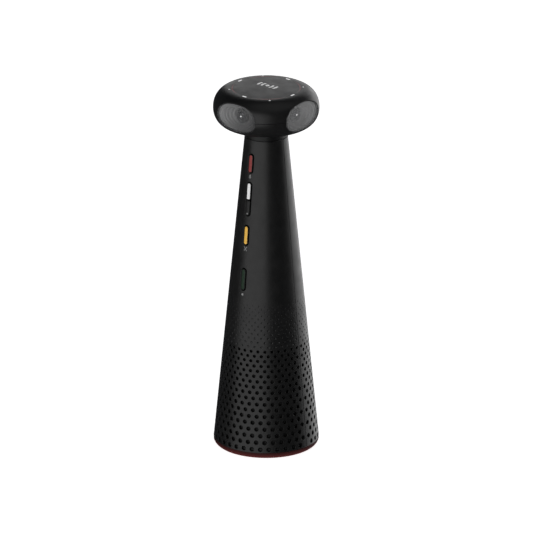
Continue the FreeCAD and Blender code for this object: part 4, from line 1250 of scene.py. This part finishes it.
def build_head():
    middle_t = float(height_to_t(HEAD_MIDDLE))
    # the grid's circles are denser round the head's edge than on its crown
    radii = np.concatenate([np.arange(1.6, 25.5, 2.0), np.arange(25.8, middle_t, 1.25)])
    piece("head_upper", head_cover(HeadHalf(True), top_openings, disc_grid(radii, 1.7)),
          "tower", "head_plastic", "head_top_cover")
    radii = np.arange(NECK_HOLE + 1.2, PROFILE_T[-1] - middle_t + NECK_HOLE, 1.3)
    piece("head_lower", head_cover(HeadHalf(False), neck_openings, disc_grid(radii, 1.7)),
          "tower", "head_plastic", "head_lower_cover")
    for k, side in enumerate(("front", "right", "rear", "left")):
        piece(f"window_{side}", window_plate(k), "tower", "smoked_glass", f"lens_window_{side}")
    back, front = HOLDER_BACK, LENS_FRONT
    holder = [(1.9, back), (6.4, back), (6.4, back + 2.9), (6.3, back + 3.0), (4.9, back + 3.0),
              (4.9, front - 1.5), (5.6, front - 1.5), (5.6, front - 0.15), (5.45, front), (4.9, front),
              (4.9, front - 0.4), (4.5, front - 0.4), (4.5, front), (LENS_RADIUS + 0.17, front),
              (LENS_RADIUS + 0.05, front - 0.12), (LENS_RADIUS + 0.05, front - LENS_DEPTH),
              (1.9, front - LENS_DEPTH), (1.9, back + 1.0)]
    piece("lens_holders", lens_lathe(holder), "tower", "lens_plastic", "lens_barrels")
    piece("window_seals", window_seals(), "tower", "gasket_rubber", "window_gaskets")
    piece("lens_funnels", lens_bowls(), "tower", "baffle_plastic", "lens_baffles")
    piece("lens_fronts", lens_fronts(), "tower", "lens_glass", "lens_elements")
    # a painted glint: a small glowing disc in the middle of each lens
    piece("painted_lens_glints", painted_lens_glints(), "tower", "lens_glass", material="painted_glint_glow")


def build_buttons():
    for key, (*_, finish) in BUTTONS.items():
        piece(f"{key}_cap", button_cap(key), f"{key}_key", finish, f"{key}_button")
        piece(f"{key}_skirt", button_skirt(key), f"{key}_key", "collar_plastic")
        piece(f"{key}_flange", button_flange(key), f"{key}_key", "collar_plastic")


def build_marks():
    microphone = [stroke([(0, -0.4), (0, 1.1)], 0.9), stroke(arc_points(1.1, 200, 340), 0.3),
                  stroke([(0, -1.15), (0, -1.7)], 0.35)]
    cross = [stroke([(-1.2, -1.5), (1.2, 1.5)], 0.5), stroke([(-1.2, 1.5), (-0.35, 0.45)], 0.5),
             stroke([(0.35, -0.45), (1.2, -1.5)], 0.5)]
    waves = [disc(1.7)]
    for turn in (0, 180):
        for radius in (4.6, 8.3):
            reach = math.degrees(math.asin(2.2 / radius))
            waves.append(stroke(arc_points(radius, turn - reach, turn + reach), 1.9))
    for name, loops in (("mute", microphone), ("mode", cross), ("power", [disc(0.95)])):
        mark = print_marks(loops, on_body(MARK_Z[name]))
        piece(f"mark_{name}", mark, "tower", "light_guide", material="print_grey")
    mark = print_marks([disc(0.6)], on_key("volume_down", KEY_MARK_RISE), 0.02)
    piece("mark_volume_down", mark, "volume_down_key", "light_guide", material="print_grey")
    mark = print_marks(waves, on_top((-2.0, 4.0)))
    piece("mark_top", mark, "tower", "light_guide", material="print_white")


build_body()
build_head()
build_buttons()
build_marks()


# ---- stage, light and camera ----
# Lengths are in metres and directions in degrees from here on
FLOOR_HALF = 9.0
FLOOR_CELLS = 24
OBJECT_MIDDLE = Vector((0, 0, 0.15))
CAMERA_AIM = Vector((0.00015, 0.00013, 0.1486))
CAMERA_PLACE = (39.7, 20.3, 9.543)  # azimuth, elevation and distance
# name: (azimuth, elevation, distance, size, radiance)
LIGHTS = {
    "key_light": (1, 3, 2.4, (4.2, 3.2), 1.1),
    "rim_light": (171, -2, 2.6, (3.4, 2.4), 1.5),
    "back_light": (212, 14, 2.8, (1.9, 1.5), 0.95),
    "top_light": (100, 76, 2.6, (2.8, 2.8), 0.3),
}


def build_floor():
    steps = np.linspace(-FLOOR_HALF, FLOOR_HALF, FLOOR_CELLS + 1)
    row = FLOOR_CELLS + 1
    corners = [i * row + j for i in range(FLOOR_CELLS) for j in range(FLOOR_CELLS)]
    mesh = bpy.data.meshes.new("floor")
    mesh.from_pydata([(x, y, 0.0) for y in steps for x in steps], [],
                     [(a, a + 1, a + row + 1, a + row) for a in corners])
    floor = place_mesh("floor", mesh, "floor_paper")
    floor.visible_glossy = False
    floor.visible_shadow = False


def look_from(name, data, azimuth, elevation, distance, aim):
    """Places a lamp or a camera in a direction from a point, facing the point."""
    a, e = math.radians(azimuth), math.radians(elevation)
    direction = Vector((math.cos(e) * math.sin(a), -math.cos(e) * math.cos(a), math.sin(e)))
    placed = bpy.data.objects.new(name, data)
    placed.location = aim + direction * distance
    placed.rotation_euler = direction.to_track_quat("Z", "Y").to_euler()
    bpy.context.scene.collection.objects.link(placed)
    return placed


def softbox(name, azimuth, elevation, distance, size, radiance):
    """A rectangular light with an even radiance. The camera doesn't see it."""
    lamp = bpy.data.lights.new(name, "AREA")
    lamp.shape = "RECTANGLE"
    lamp.size, lamp.size_y = size
    lamp.energy = radiance * math.pi * size[0] * size[1]
    look_from(name, lamp, azimuth, elevation, distance, OBJECT_MIDDLE).visible_camera = False


def build_camera():
    data = bpy.data.cameras.new("camera")
    data.sensor_width = 36.0
    data.lens = 809.2
    data.clip_end = 60.0
    bpy.context.scene.camera = look_from("camera", data, *CAMERA_PLACE, CAMERA_AIM)


def build_light():
    scene = bpy.context.scene
    scene.view_settings.view_transform = "Standard"
    scene.world = bpy.data.worlds.new("studio")
    scene.world.use_nodes = True
    tree = scene.world.node_tree
    set_inputs(tree, tree.nodes["Background"], {"Color": (0.9, 0.93, 1.0, 1), "Strength": 0.04})
    for name, values in LIGHTS.items():
        softbox(name, *values)


build_floor()
build_light()
build_camera()
